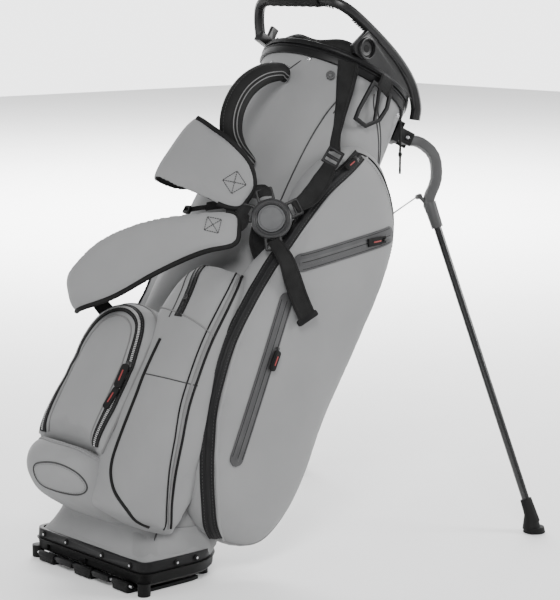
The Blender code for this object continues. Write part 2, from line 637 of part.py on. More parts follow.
HUB = Vector((-0.1180, -0.1385, 0.5150))
HUB_OUT = Vector((-0.72, -0.69, -0.08)).normalized()
hub_frame = facing(HUB, HUB_OUT, Vector((0, 0, 1)))
hub = rod(hub_frame @ Vector((0, 0, 0)), hub_frame @ Vector((0, 0, 0.0100)), 0.0285, 0.0270, 40)
for angle in (128, 48, 188, -62):
    t = math.radians(angle)
    spin = hub_frame @ Matrix.Rotation(t, 4, "Z")
    hub = union(hub, block((0.020, -0.0115, 0.0010), (0.0385, 0.0115, 0.0060), 0.0015, spin))
hub = cut(hub, rod(hub_frame @ Vector((0, 0, 0.0060)), hub_frame @ Vector((0, 0, 0.0200)), 0.0200, sides=40))
finish("strap_hub", hub, BLACK)
finish("hub_disc", rod(hub_frame @ Vector((0, 0, 0.0060 + GAP)), hub_frame @ Vector((0, 0, 0.0115)), 0.0194,
                       0.0185, 40), RUBBER)

carry_path = smooth_path([(-0.113, -0.030, 0.744), (-0.128, -0.032, 0.740), (-0.157, -0.034, 0.719),
                          (-0.177, -0.036, 0.687), (-0.185, -0.042, 0.650), (-0.175, -0.044, 0.620),
                          (-0.153, -0.045, 0.603), (-0.112, -0.041, 0.594)], 4)
carry = ribbon(carry_path, 0.0200, 0.0110, Vector((-0.55, -0.83, 0)).normalized())
carry = cut(carry, loft(body_rings(GAP * 2)))
finish("carry_handle", carry, PAD)

upper_pad_path = smooth_path([(-0.1495, -0.1110, 0.529), (-0.1665, -0.0935, 0.542), (-0.1900, -0.0645, 0.552),
                              (-0.2105, -0.0325, 0.559), (-0.2225, -0.0040, 0.565), (-0.2120, 0.0260, 0.566),
                              (-0.1800, 0.0480, 0.563), (-0.1420, 0.0560, 0.560)], 4)
upper_pad = ribbon(upper_pad_path, spread([0.042, 0.074, 0.092, 0.098, 0.098, 0.070, 0.046, 0.030],
                                          len(upper_pad_path)), 0.012,
                   turned_normals(upper_pad_path))
finish("upper_shoulder_pad", upper_pad, GREY)
lower_pad_path = smooth_path([(-0.1465, -0.1150, 0.4845), (-0.1825, -0.0795, 0.4570), (-0.2140, -0.0335, 0.4165),
                              (-0.2290, 0.0165, 0.3705), (-0.2280, 0.0560, 0.3360), (-0.2090, 0.0860, 0.3240)], 4)
lower_pad = ribbon(lower_pad_path, spread([0.046, 0.056, 0.068, 0.072, 0.064, 0.046], len(lower_pad_path)),
                   0.012, Vector((-1, -0.8, 0)))
finish("lower_shoulder_pad", lower_pad, GREY)

strap_out = Vector((-0.62, -0.78, 0))
upper_web = smooth_path([(-0.066, -0.1180, 0.7780), (-0.070, -0.1350, 0.7200), (-0.074, -0.1480, 0.6850),
                         (-0.078, -0.1560, 0.6530)], 3)
finish("upper_webbing", ribbon(upper_web, spread([0.030, 0.026, 0.018, 0.018], len(upper_web)), 0.0022,
                               strap_out), WEB)
buckle_frame = facing(Vector((-0.079, -0.1600, 0.6360)), strap_out, Vector((0.10, -0.05, 1)))
buckle = cut(block((-0.0125, -0.0130, -0.0022), (0.0125, 0.0130, 0.0022), 0.0015, buckle_frame),
             block((-0.0090, 0.0015, -0.01), (0.0090, 0.0085, 0.01), 0.0, buckle_frame),
             block((-0.0090, -0.0085, -0.01), (0.0090, -0.0030, 0.01), 0.0, buckle_frame))
finish("ladder_buckle", buckle, BLACK)
lower_web = smooth_path([(-0.080, -0.1620, 0.6180), (-0.085, -0.1640, 0.5900), (-0.0915, -0.1640, 0.5640)], 3)
finish("strap_to_hub", ribbon(lower_web, 0.0260, 0.0022, strap_out), WEB)
bottom_web = smooth_path([(-0.0860, -0.1640, 0.4740), (-0.0720, -0.1760, 0.4550), (-0.0440, -0.1800, 0.4000),
                          (-0.0300, -0.1800, 0.3760)], 3)
finish("bottom_webbing", ribbon(bottom_web, 0.0260, 0.0022, Vector((-0.35, -0.93, 0))), WEB)

# ---------------------------------------------------------------- accessory ring and stud

ring_web = slab([(-0.0120, 0, 0.8040), (-0.0140, 0, 0.7850)], 0.028, 0.002, (0, -1, 0))
ring_web.transform(Matrix.Translation((0, -0.1260, -0.0010)))
finish("ring_webbing", ring_web, WEB)
RING_EYE = Vector((-0.0160, -0.1262, 0.7760))
ring_outer = [(-0.0225, 0.0060), (0.0215, 0.0060), (0.0266, -0.0158), (0.0220, -0.0385), (0.0006, -0.0610),
              (-0.0264, -0.0610), (-0.0275, -0.0440)]
ring_inner = [(-0.0165, 0.0010), (0.0165, 0.0010), (0.0212, -0.0160), (0.0172, -0.0365), (-0.0015, -0.0555),
              (-0.0215, -0.0555), (-0.0222, -0.0430)]
ring_frame = facing(RING_EYE, OUT, Vector((0, 0, 1)))
ring = cut(plate(ring_outer, -0.0018, 0.0018, ring_frame), plate(ring_inner, -0.01, 0.01, ring_frame))
ring_bar = block((-0.0022, -0.0470, -0.0016), (0.0022, 0.0030, 0.0016), 0.0,
                 ring_frame @ Matrix.Translation((-0.004, 0, 0)) @ Matrix.Rotation(math.radians(20), 4, "Z"))
finish("accessory_ring", union(ring, ring_bar), BLACK, origin=RING_EYE)

stud_out = Vector((-0.70, -0.71, 0)).normalized()
stud_at = Vector((-0.0800, -0.0835, 0.7640))
finish("collar_stud", rod(stud_at, stud_at + stud_out * 0.003, 0.0065, 0.0055, 20), STEEL)


# ---------------------------------------------------------------- lace that hangs from the collar

LACE_TOP, LACE_LONG = Vector((0.0455, -0.1135, 0.7775)), 0.095
down = BAG.inverted().to_3x3() @ Vector((0, 0, -1))
lace = wire([LACE_TOP + down * LACE_LONG * k / 14 for k in range(15)], 0.0018)
finish("hanging_lace", lace, WEB)


# ---------------------------------------------------------------- legs and their mechanism

OUTWARD = Vector((LEG_AXIS.y, -LEG_AXIS.x, 0))
leg_dir = (LEG_END - LEG_TOP).normalized()
pivot_frame = Matrix.Translation(LEG_PIVOT) @ Matrix((OUTWARD, LEG_AXIS, Vector((0, 0, 1)))).transposed().to_4x4()


def both(name, mesh, look, origin=None):
    """The same piece on both legs."""
    other = mirrored(mesh)
    finish("near_" + name, mesh, look, origin=origin)
    flip = Vector((origin[0], -origin[1], origin[2])) if origin is not None else None
    finish("far_" + name, other, look, origin=flip)


bracket = union(block((-0.0215, -0.0135, -0.0140), (-0.0115, 0.0135, 0.0190), 0.0015, pivot_frame),
                block((-0.0150, 0.0080, -0.0100), (0.0095, 0.0125, 0.0110), 0.0015, pivot_frame),
                block((-0.0150, -0.0125, -0.0100), (0.0095, -0.0080, 0.0110), 0.0015, pivot_frame))
bore = rod(LEG_PIVOT - LEG_AXIS * 0.05, LEG_PIVOT + LEG_AXIS * 0.05, 0.0031, sides=20)
bracket = cut(bracket, bore, loft(body_rings(GAP)))
both("leg_bracket", bracket, BLACK)
both("leg_pin", rod(LEG_PIVOT - LEG_AXIS * 0.0150, LEG_PIVOT + LEG_AXIS * 0.0150, 0.0027, sides=20), STEEL)

arm_path = smooth_path([LEG_PIVOT + OUTWARD * 0.004, (0.1310, -0.0895, 0.7665), (0.1560, -0.1020, 0.7580),
                        (0.1715, -0.1100, 0.7270), LEG_TOP - leg_dir * 0.010, LEG_TOP + leg_dir * 0.012], 3)
arm_normals = []
for i, point in enumerate(arm_path):
    along = arm_path[min(i + 1, len(arm_path) - 1)] - arm_path[max(i - 1, 0)]
    arm_normals.append(LEG_AXIS.cross(along).normalized())
arm = ribbon(arm_path, 0.0125, 0.0150, arm_normals)
eye = rod(LEG_PIVOT - LEG_AXIS * 0.0072, LEG_PIVOT + LEG_AXIS * 0.0072, 0.0085, sides=20)
sleeve = rod(LEG_TOP - leg_dir * 0.006, LEG_TOP + leg_dir * 0.034, 0.0098, 0.0088, 20)
knob = rod(WIRE_END - LEG_AXIS * 0.0030, WIRE_END + LEG_AXIS * 0.0085, 0.0040, sides=16)
stem = rod(WIRE_END, LEG_TOP + leg_dir * 0.004, 0.0030, sides=16)
arm = union(arm, eye, sleeve, knob, stem)
arm = cut(arm, rod(LEG_PIVOT - LEG_AXIS * 0.05, LEG_PIVOT + LEG_AXIS * 0.05, 0.0031, sides=20),
          rod(LEG_TOP + leg_dir * 0.010, LEG_TOP + leg_dir * 0.10, TUBE_R + 0.0006, sides=20))
both("leg_arm", arm, BLACK, LEG_PIVOT)
both("leg_tube", rod(LEG_TOP + leg_dir * 0.0105, LEG_END - leg_dir * 0.008, TUBE_R, sides=20), TUBE, LEG_PIVOT)

toe = BAG.inverted().to_3x3() @ Vector((0.60, -0.80, 0)).normalized()
up = BAG.inverted().to_3x3() @ Vector((0, 0, 1))
drop = (BAG @ LEG_END).z
sole_at = LEG_END - up * drop
ankle = rod(LEG_END - leg_dir * 0.030, LEG_END + leg_dir * (drop * 0.35), 0.0088, 0.0105, 18)
tread = rod(sole_at + toe * 0.004, sole_at + toe * 0.004 + up * 0.0085, 0.0170, 0.0150, 22)
heel = rod(sole_at + up * 0.0060, LEG_END - leg_dir * 0.006, 0.0140, 0.0095, 18)
foot = union(tread, heel, ankle)
foot = cut(foot, rod(LEG_END - leg_dir * 0.06, LEG_END - leg_dir * 0.0075, TUBE_R + 0.0006, sides=20))
both("leg_foot", foot, RUBBER, LEG_PIVOT)

wire_low = ROD_TOP + Vector((-0.002, -0.0185, 0.006))
wire_run = wire_low - WIRE_END
run = wire_run.normalized()
wire_from = WIRE_END - run * 0.003 + LEG_AXIS * 0.0134
apart, turn_at = LEG_AXIS * 0.0017, wire_low + run * 0.0014
hairpin = [wire_from - apart, wire_from.lerp(wire_low, 0.5) - apart, wire_low - apart, turn_at - apart * 0.5,
           turn_at + apart * 0.5, wire_low + apart, wire_from.lerp(wire_low, 0.5) + apart, wire_from + apart]
both("push_wire", wire(hairpin, 0.0011, sides=2), STEEL, WIRE_END)

rod_dir = (ROD_LOW - ROD_TOP).normalized()
yoke = union(rod(ROD_TOP - rod_dir * 0.004, ROD_LOW, ROD_R, sides=16),
             block((ROD_TOP.x - 0.0050, -0.0110, ROD_TOP.z - 0.012), (ROD_TOP.x + 0.0060, 0.0110, ROD_TOP.z + 0.006),
                   0.0015))
finish("push_rod", yoke, STEEL, origin=ROD_TOP)
guide_at = [ROD_TOP.lerp(ROD_LOW, share) for share in (0.24, 0.80)]
guide = cut(rod(guide_at[0], guide_at[1], 0.0060, sides=24),
            rod(ROD_TOP, ROD_LOW, ROD_R + 0.0006, sides=24))
guide = cut(guide, loft(body_rings(GAP)))
finish("rod_guide", guide, BLACK)
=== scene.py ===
"""Looks of the leaning golf stand bag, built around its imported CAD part.

Points are laid out in the bag's own axes and then leaned: z runs up the bag, x points to the side
of the legs, -x to the straps, -y to the large side pocket.
"""
import json
import math

import bmesh
import bpy
import numpy as np
from mathutils import Matrix, Vector
from mathutils.bvhtree import BVHTree

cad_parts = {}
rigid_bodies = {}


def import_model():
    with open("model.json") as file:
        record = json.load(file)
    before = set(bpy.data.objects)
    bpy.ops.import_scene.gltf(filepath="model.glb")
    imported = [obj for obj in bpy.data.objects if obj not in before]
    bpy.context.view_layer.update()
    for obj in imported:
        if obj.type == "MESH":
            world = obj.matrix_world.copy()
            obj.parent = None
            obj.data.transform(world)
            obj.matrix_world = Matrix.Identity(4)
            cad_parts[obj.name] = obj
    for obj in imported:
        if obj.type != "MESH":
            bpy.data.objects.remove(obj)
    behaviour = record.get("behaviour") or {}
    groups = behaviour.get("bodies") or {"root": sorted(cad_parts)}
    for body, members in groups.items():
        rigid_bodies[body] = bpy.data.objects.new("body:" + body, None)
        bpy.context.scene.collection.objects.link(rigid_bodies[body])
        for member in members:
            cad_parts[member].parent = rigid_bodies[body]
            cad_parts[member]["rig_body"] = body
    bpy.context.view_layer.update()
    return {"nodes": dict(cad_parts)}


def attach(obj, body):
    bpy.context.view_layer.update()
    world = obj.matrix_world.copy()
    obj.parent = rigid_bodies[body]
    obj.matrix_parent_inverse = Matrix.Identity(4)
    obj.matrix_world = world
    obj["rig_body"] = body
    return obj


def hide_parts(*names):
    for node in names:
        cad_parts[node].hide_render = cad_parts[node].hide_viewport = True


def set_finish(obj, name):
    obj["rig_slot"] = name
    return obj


for old in list(bpy.data.objects):
    bpy.data.objects.remove(old, do_unlink=True)
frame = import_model()
SCENE = bpy.context.scene
LEAN = math.radians(31.5)
BAG = Matrix.Rotation(LEAN, 4, "Y")


def B(point):
    """A point of the bag's axes, in the row frame."""
    return BAG @ Vector(point)


def BD(direction):
    """A direction of the bag's axes, in the row frame."""
    return (BAG.to_3x3() @ Vector(direction)).normalized()


def mm(*points):
    """Points given in millimetres, in metres."""
    return [tuple(value / 1000 for value in point) for point in points]


# ---------------------------------------------------------------- camera and light

lens = bpy.data.cameras.new("camera")
lens.lens, lens.sensor_width = 119.07, 36
camera = bpy.data.objects.new("camera", lens)
camera.location = (-1.644, -2.205, 0.847)
camera.rotation_euler = Vector((0.6535, 0.7387, -0.165)).to_track_quat("-Z", "Y").to_euler()
SCENE.collection.objects.link(camera)
SCENE.camera = camera


def area_light(name, place, aim, size, power):
    data = bpy.data.lights.new(name, "AREA")
    data.shape, data.size, data.energy = "DISK", size, power
    lamp = bpy.data.objects.new(name, data)
    lamp.location = place
    lamp.rotation_euler = (Vector(aim) - Vector(place)).to_track_quat("-Z", "Y").to_euler()
    SCENE.collection.objects.link(lamp)


area_light("key", (-1.9, -2.2, 2.4), (0.0, 0, 0.4), 1.2, 110)
area_light("fill", (-2.9, 0.9, 1.3), (0, 0, 0.35), 1.6, 26)
area_light("side", (2.4, -2.2, 1.5), (0.2, 0, 0.4), 1.2, 74)
area_light("backdrop", (2.7, 3.2, 2.9), (3.6, 4.3, 0.0), 3.2, 1000)
world = bpy.data.worlds.new("studio")
SCENE.world = world
world.use_nodes = True
sky, sky_links = world.node_tree.nodes, world.node_tree.links
place = sky.new("ShaderNodeTexCoord")
facing = sky.new("ShaderNodeVectorMath")
facing.operation = "DOT_PRODUCT"
facing.inputs[1].default_value = (0.66, 0.75, 0.0)
sky_links.new(place.outputs["Generated"], facing.inputs[0])
backdrop = sky.new("ShaderNodeMapRange")
backdrop.interpolation_type = "SMOOTHSTEP"
backdrop.inputs["From Min"].default_value, backdrop.inputs["From Max"].default_value = 0.3, 0.95
backdrop.inputs["To Min"].default_value, backdrop.inputs["To Max"].default_value = 0.55, 3.6
sky_links.new(facing.outputs["Value"], backdrop.inputs["Value"])
sky["Background"].inputs["Color"].default_value = (0.97, 0.975, 0.98, 1)
sky_links.new(backdrop.outputs["Result"], sky["Background"].inputs["Strength"])


# ---------------------------------------------------------------- materials


def material(name, dark, light, rough, metallic=0.0, grain=(), patch=14.0, rough_spread=0.08, **sockets):
    """A surface that varies between two colours, or greys given as one number, with fine relief.

    grain lists (kind, size in metres, depth in metres): noise, cells, weave or ribs. weave and ribs
    follow the piece's UVs, which are in metres, and the others its place.
    """
    made = bpy.data.materials.new(name)
    made.use_nodes = True
    nodes, links = made.node_tree.nodes, made.node_tree.links
    dark, light = (colour if isinstance(colour, tuple) else (colour,) * 3 for colour in (dark, light))
    shader = nodes["Principled BSDF"]
    shader.inputs["Metallic"].default_value = metallic
    for socket, value in sockets.items():
        shader.inputs[socket.replace("_", " ")].default_value = value
    place = nodes.new("ShaderNodeTexCoord")
    broad = nodes.new("ShaderNodeTexNoise")
    broad.inputs["Scale"].default_value = patch
    broad.inputs["Detail"].default_value = 5
    links.new(place.outputs["Object"], broad.inputs["Vector"])
    ramp = nodes.new("ShaderNodeValToRGB")
    ramp.color_ramp.elements[0].position, ramp.color_ramp.elements[1].position = 0.32, 0.68
    ramp.color_ramp.elements[0].color = (*dark, 1)
    ramp.color_ramp.elements[1].color = (*light, 1)
    links.new(broad.outputs["Fac"], ramp.inputs["Fac"])
    links.new(ramp.outputs["Color"], shader.inputs["Base Color"])
    wear = nodes.new("ShaderNodeTexNoise")
    wear.inputs["Scale"].default_value = patch * 5
    wear.inputs["Detail"].default_value = 4
    links.new(place.outputs["Object"], wear.inputs["Vector"])
    spread = nodes.new("ShaderNodeMapRange")
    spread.inputs["To Min"].default_value = max(rough - rough_spread, 0.02)
    spread.inputs["To Max"].default_value = min(rough + rough_spread, 1.0)
    links.new(wear.outputs["Fac"], spread.inputs["Value"])
    links.new(spread.outputs["Result"], shader.inputs["Roughness"])
    normal = None
    for kind, size, depth in grain:
        if kind == "noise":
            source = nodes.new("ShaderNodeTexNoise")
            source.inputs["Scale"].default_value = 1 / size
            source.inputs["Detail"].default_value = 3
            links.new(place.outputs["Object"], source.inputs["Vector"])
            height = source.outputs["Fac"]
        elif kind == "cells":
            source = nodes.new("ShaderNodeTexVoronoi")
            source.inputs["Scale"].default_value = 1 / size
            links.new(place.outputs["Object"], source.inputs["Vector"])
            height = source.outputs["Distance"]
        else:
            waves = []
            for direction in ("X", "Y") if kind == "weave" else ("X",):
                wave = nodes.new("ShaderNodeTexWave")
                wave.bands_direction = direction
                wave.inputs["Scale"].default_value = 0.314 / size
                wave.inputs["Distortion"].default_value = 0.4
                links.new(place.outputs["UV"], wave.inputs["Vector"])
                waves.append(wave.outputs["Fac"])
            height = waves[0]
            if len(waves) == 2:
                both = nodes.new("ShaderNodeMath")
                both.operation = "MULTIPLY"
                links.new(waves[0], both.inputs[0])
                links.new(waves[1], both.inputs[1])
                height = both.outputs[0]
        bump = nodes.new("ShaderNodeBump")
        bump.inputs["Distance"].default_value = depth
        bump.inputs["Strength"].default_value = 1.0
        links.new(height, bump.inputs["Height"])
        if normal is not None:
            links.new(normal, bump.inputs["Normal"])
        normal = bump.outputs["Normal"]
    if normal is not None:
        links.new(normal, shader.inputs["Normal"])
    return made


GREY = material("grey_softshell", (0.1736, 0.1749, 0.1764), (0.1979, 0.1992, 0.2), 0.7, patch=7,
    grain=(("noise", 0.0022, 0.00012), ("cells", 0.0011, 0.0001)), Sheen_Weight=0.06, Sheen_Roughness=0.5,
    Specular_IOR_Level=0.25)
GREY_EDGE = material("grey_binding", 0.0992, 0.1302, 0.72, grain=(("noise", 0.0015, 0.0001),))
BLACK = material("moulded_plastic", (0.0043, 0.0043, 0.0046), (0.0066, 0.0066, 0.0069), 0.42, patch=20,
    grain=(("noise", 0.0013, 0.00007), ("noise", 0.012, 0.00012)), Specular_IOR_Level=0.16)
DEEP = material("deep_plastic", 0.0022, 0.0034, 0.55, grain=(("noise", 0.0013, 0.00008),),
    Specular_IOR_Level=0.16)
ARM = material("grey_plastic", (0.0385, 0.0385, 0.0392), (0.0525, 0.0525, 0.0532), 0.48, patch=25,
    grain=(("noise", 0.0012, 0.00008),), Specular_IOR_Level=0.35)
WEB = material("webbing", 0.0053, 0.0105, 0.72, patch=40, grain=(("weave", 0.0016, 0.00035), ("noise", 0.0009,
    0.0001)), Specular_IOR_Level=0.16)
PAD = material("padded_fabric", 0.0054, 0.0092, 0.66, patch=18, grain=(("cells", 0.0018, 0.0002),),
    Specular_IOR_Level=0.16)
BINDING = material("binding_tape", 0.0034, 0.0067, 0.68, grain=(("noise", 0.0012, 0.00018),),
    Specular_IOR_Level=0.16)
LINING = material("lining", (0.0105, 0.0105, 0.0108), (0.0147, 0.0147, 0.015), 0.85, grain=(("noise", 0.002,
    0.0002),), Specular_IOR_Level=0.16)
RUBBER = material("rubber", 0.0042, 0.0077, 0.66, patch=30, grain=(("noise", 0.001, 0.00012),),
    Specular_IOR_Level=0.16)
TAPE = material("coated_tape", (0.0056, 0.0056, 0.006), (0.0088, 0.0088, 0.0092), 0.5, patch=30,
    grain=(("weave", 0.0012, 0.00012), ("noise", 0.003, 0.00008)), Specular_IOR_Level=0.16)
WELDED = material("welded_tape", (0.0347, 0.0347, 0.0359), (0.0485, 0.0485, 0.0498), 0.46, patch=26,
    grain=(("noise", 0.0016, 0.0001),), Specular_IOR_Level=0.3)
THREAD = material("thread", 0.028, 0.044, 0.6, grain=(("noise", 0.0005, 0.0001),), Specular_IOR_Level=0.16)
THREAD_GREY = material("grey_thread", 0.096, 0.132, 0.6, grain=(("noise", 0.0005, 0.0001),))
TEETH = material("zip_teeth", 0.273, 0.3822, 0.35, grain=(("noise", 0.0006, 0.00005),))
TEETH_DARK = material("dark_teeth", 0.01, 0.02, 0.35, grain=(("noise", 0.0006, 0.00005),))
STEEL = material("satin_steel", (0.4, 0.4, 0.41), (0.52, 0.52, 0.53), 0.3, metallic=1.0, patch=60,
    grain=(("noise", 0.0012, 0.00004),))
TUBE = material("dark_tube", (0.008, 0.008, 0.0085), (0.013, 0.013, 0.0135), 0.26, metallic=0.35, patch=30,
    grain=(("noise", 0.0015, 0.00003),), Coat_Weight=0.4, Coat_Roughness=0.15, Specular_IOR_Level=0.5)
ACCENT = material("puller_accent", (0.175, 0.0105, 0.0105), (0.231, 0.014, 0.014), 0.5, grain=(("noise", 0.001,
    0.00005),))
HUB_GREY = material("hub_plastic", (0.014, 0.014, 0.0147), (0.02, 0.02, 0.0207), 0.38, patch=30,
    grain=(("noise", 0.0012, 0.00006),), Specular_IOR_Level=0.4)
HUB_DISC = material("hub_disc_rubber", (0.05, 0.051, 0.053), (0.062, 0.063, 0.065), 0.5, patch=30,
    grain=(("noise", 0.0011, 0.00006),), Specular_IOR_Level=0.3)
GLOSS = material("handle_plastic", (0.0075, 0.0075, 0.0078), (0.0115, 0.0115, 0.0118), 0.34, patch=24,
    grain=(("noise", 0.0013, 0.00006),), Specular_IOR_Level=0.26)
FLOOR = material("floor", 0.86, 0.88, 0.75, patch=2, grain=(("noise", 0.02, 0.0001),))

# ---------------------------------------------------------------- meshes


def add(name, verts, faces, look, body="bag", uvs=None, sharp=40.0):
    """A smooth-shaded piece from points of the row frame."""
    mesh = bpy.data.meshes.new(name)
    mesh.from_pydata([tuple(v) for v in verts], [], [tuple(f) for f in faces])
    if uvs is not None:
        layer = mesh.uv_layers.new(name="UVMap")
        index = np.empty(len(mesh.loops), int)
        mesh.loops.foreach_get("vertex_index", index)
        layer.data.foreach_set("uv", np.asarray(uvs, np.float32)[index].ravel())
    bm = bmesh.new()
    bm.from_mesh(mesh)
    bmesh.ops.recalc_face_normals(bm, faces=bm.faces)
    bm.to_mesh(mesh)
    bm.free()
    return piece(name, mesh, look, body, sharp)


def piece(name, mesh, look, body="bag", sharp=40.0):
    mesh.materials.clear()
    mesh.materials.append(look)
    mesh.polygons.foreach_set("use_smooth", [True] * len(mesh.polygons))
    if sharp:
        mesh.set_sharp_from_angle(angle=math.radians(sharp))
    obj = bpy.data.objects.new(name, mesh)
    SCENE.collection.objects.link(obj)
    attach(obj, body)
    return obj


def applied(obj):
    """The object's mesh with its modifiers in it, and no modifier left."""
    bpy.context.view_layer.update()
    mesh = bpy.data.meshes.new_from_object(obj.evaluated_get(bpy.context.evaluated_depsgraph_get()))
    obj.modifiers.clear()
    obj.data = mesh
    mesh.polygons.foreach_set("use_smooth", [True] * len(mesh.polygons))
    return obj


def rings_to_faces(rows, count, caps=True):
    faces = []
    for r in range(rows - 1):
        for i in range(count):
            j = (i + 1) % count
            faces.append((r * count + i, r * count + j, (r + 1) * count + j, (r + 1) * count + i))
    if caps:
        faces.append(tuple(range(count - 1, -1, -1)))
        faces.append(tuple(range((rows - 1) * count, rows * count)))
    return faces


def curve(points, step=0.004, closed=False):
    """An even smooth curve through points: a Catmull-Rom spline cut into equal steps."""
    points = [Vector(p) for p in points]
    if closed:
        ends = [points[-1]] + points + points[:2]
    else:
        ends = [2 * points[0] - points[1]] + points + [2 * points[-1] - points[-2]]
    fine = []
    for p0, p1, p2, p3 in zip(ends, ends[1:], ends[2:], ends[3:]):
        for k in range(16):
            t = k / 16
            fine.append(0.5 * (2 * p1 + (p2 - p0) * t + (2 * p0 - 5 * p1 + 4 * p2 - p3) * t * t
                               + (3 * p1 - p0 - 3 * p2 + p3) * t ** 3))
    fine.append(points[0].copy() if closed else points[-1].copy())
    fine = np.array([tuple(p) for p in fine])
    run = np.concatenate([[0], np.cumsum(np.linalg.norm(np.diff(fine, axis=0), axis=1))])
    count = max(int(round(run[-1] / step)), 2)
    at = np.linspace(0, run[-1], count + 1)
    out = np.stack([np.interp(at, run, fine[:, k]) for k in range(3)], 1)
    return out[:-1] if closed else out


def smoothed(values, times, closed=False):
    values = np.array(values)
    for _ in range(times):
        if closed:
            values = (np.roll(values, 1, 0) + values * 2 + np.roll(values, -1, 0)) / 4
        else:
            values[1:-1] = (values[:-2] + values[1:-1] * 2 + values[2:]) / 4
    return values


def unit(values):
    return values / np.maximum(np.linalg.norm(values, axis=1, keepdims=True), 1e-9)


def tangents(path, closed=False):
    if closed:
        return unit(np.roll(path, -1, 0) - np.roll(path, 1, 0))
    out = np.empty_like(path)
    out[1:-1] = path[2:] - path[:-2]
    out[0], out[-1] = path[1] - path[0], path[-1] - path[-2]
    return unit(out)


def sweep(name, path, normals, section, look, body="bag", closed=False, scale=None, sharp=40.0):
    """A bar along path. section lists (across, out) offsets of its outline, in metres."""
    path, normals = np.asarray(path, float), np.asarray(normals, float)
    if normals.ndim == 1:
        normals = np.tile(normals, (len(path), 1))
    along = tangents(path, closed)
    across = unit(np.cross(along, normals))
    out = np.cross(across, along)
    scale = np.ones(len(path)) if scale is None else np.asarray(scale, float)
    run = np.concatenate([[0], np.cumsum(np.linalg.norm(np.diff(path, axis=0), axis=1))])
    edge = [0.0]
    for a, b in zip(section, section[1:]):
        edge.append(edge[-1] + math.dist(a, b))
    verts, uvs = [], []
    for i in range(len(path)):
        for (a, o), e in zip(section, edge):
            verts.append(path[i] + across[i] * a * scale[i] + out[i] * o)
            uvs.append((e, run[i]))
    count, rows = len(section), len(path)
    faces = rings_to_faces(rows, count, caps=not closed)
    if closed:
        for i in range(count):
            j = (i + 1) % count
            faces.append(((rows - 1) * count + i, (rows - 1) * count + j, j, i))
    return add(name, verts, faces, look, body, uvs, sharp)


def flat(width, thick, bulge=0.0, steps=6):
    """The outline of a strap: flat, with rounded edges and a slight crown."""
    top = [(width / 2 * (1 - 2 * k / steps),
        thick + bulge * (1 - (1 - 2 * k / steps) ** 2)) for k in range(steps + 1)]
    edge_a, edge_b = [(-width / 2 - thick * 0.3, thick / 2)], [(width / 2 + thick * 0.3, thick / 2)]
    return edge_b + top + edge_a + [(-width / 2, 0.0), (0.0, 0.0), (width / 2, 0.0)]


def circle(radius, lift=0.0, sides=8):
    return [(radius * math.cos(2 * math.pi * k / sides),
        lift + radius * math.sin(2 * math.pi * k / sides)) for k in range(sides)]


def scatter(name, path, normals, spacing, size, look, body="bag", side=0.0, lift=0.0):
    """Small bevelled blocks (across, along, high) at even spacing: zip teeth or the stitches of a seam."""
    path, normals = np.asarray(path, float), np.asarray(normals, float)
    run = np.concatenate([[0], np.cumsum(np.linalg.norm(np.diff(path, axis=0), axis=1))])
    at = np.arange(spacing / 2, run[-1] - spacing / 3, spacing)
    where = np.stack([np.interp(at, run, path[:, k]) for k in range(3)], 1)
    out = unit(np.stack([np.interp(at, run, normals[:, k]) for k in range(3)], 1))
    direction = tangents(path)
    along = unit(np.stack([np.interp(at, run, direction[:, k]) for k in range(3)], 1))
    across = unit(np.cross(along, out))
    out = np.cross(across, along)
    w, l, h = size
    shape = [(-w, -l, 0), (w, -l, 0), (w, l, 0), (-w, l, 0), (-w * 0.6, -l * 0.7, h), (w * 0.6, -l * 0.7, h),
        (w * 0.6, l * 0.7, h), (-w * 0.6, l * 0.7, h)]
    quads = [(0, 3, 2, 1), (4, 5, 6, 7), (0, 1, 5, 4), (1, 2, 6, 5), (2, 3, 7, 6), (3, 0, 4, 7)]
    verts, faces = [], []
    for i in range(len(at)):
        base = len(verts)
        for a, b, c in shape:
            verts.append(where[i] + across[i] * (a / 2 + side) + along[i] * b / 2 + out[i] * (c + lift))
        faces += [tuple(base + k for k in quad) for quad in quads]
    return add(name, verts, faces, look, body, sharp=30)


def lathe(name, profile, place, axis, look, body="bag", steps=64, sharp=35.0, up=(0, 0, 1)):
    """A turned piece: profile lists (radius, height) from its foot to its top."""
    z = Vector(axis).normalized()
    x = Vector(up).cross(z).normalized()
    y = z.cross(x)
    verts = []
    for radius, height in profile:
        for k in range(steps):
            t = 2 * math.pi * k / steps
            verts.append(Vector(place) + x * radius * math.cos(t) + y * radius * math.sin(t) + z * height)
    return add(name, verts, rings_to_faces(len(profile), steps), look, body, sharp=sharp)


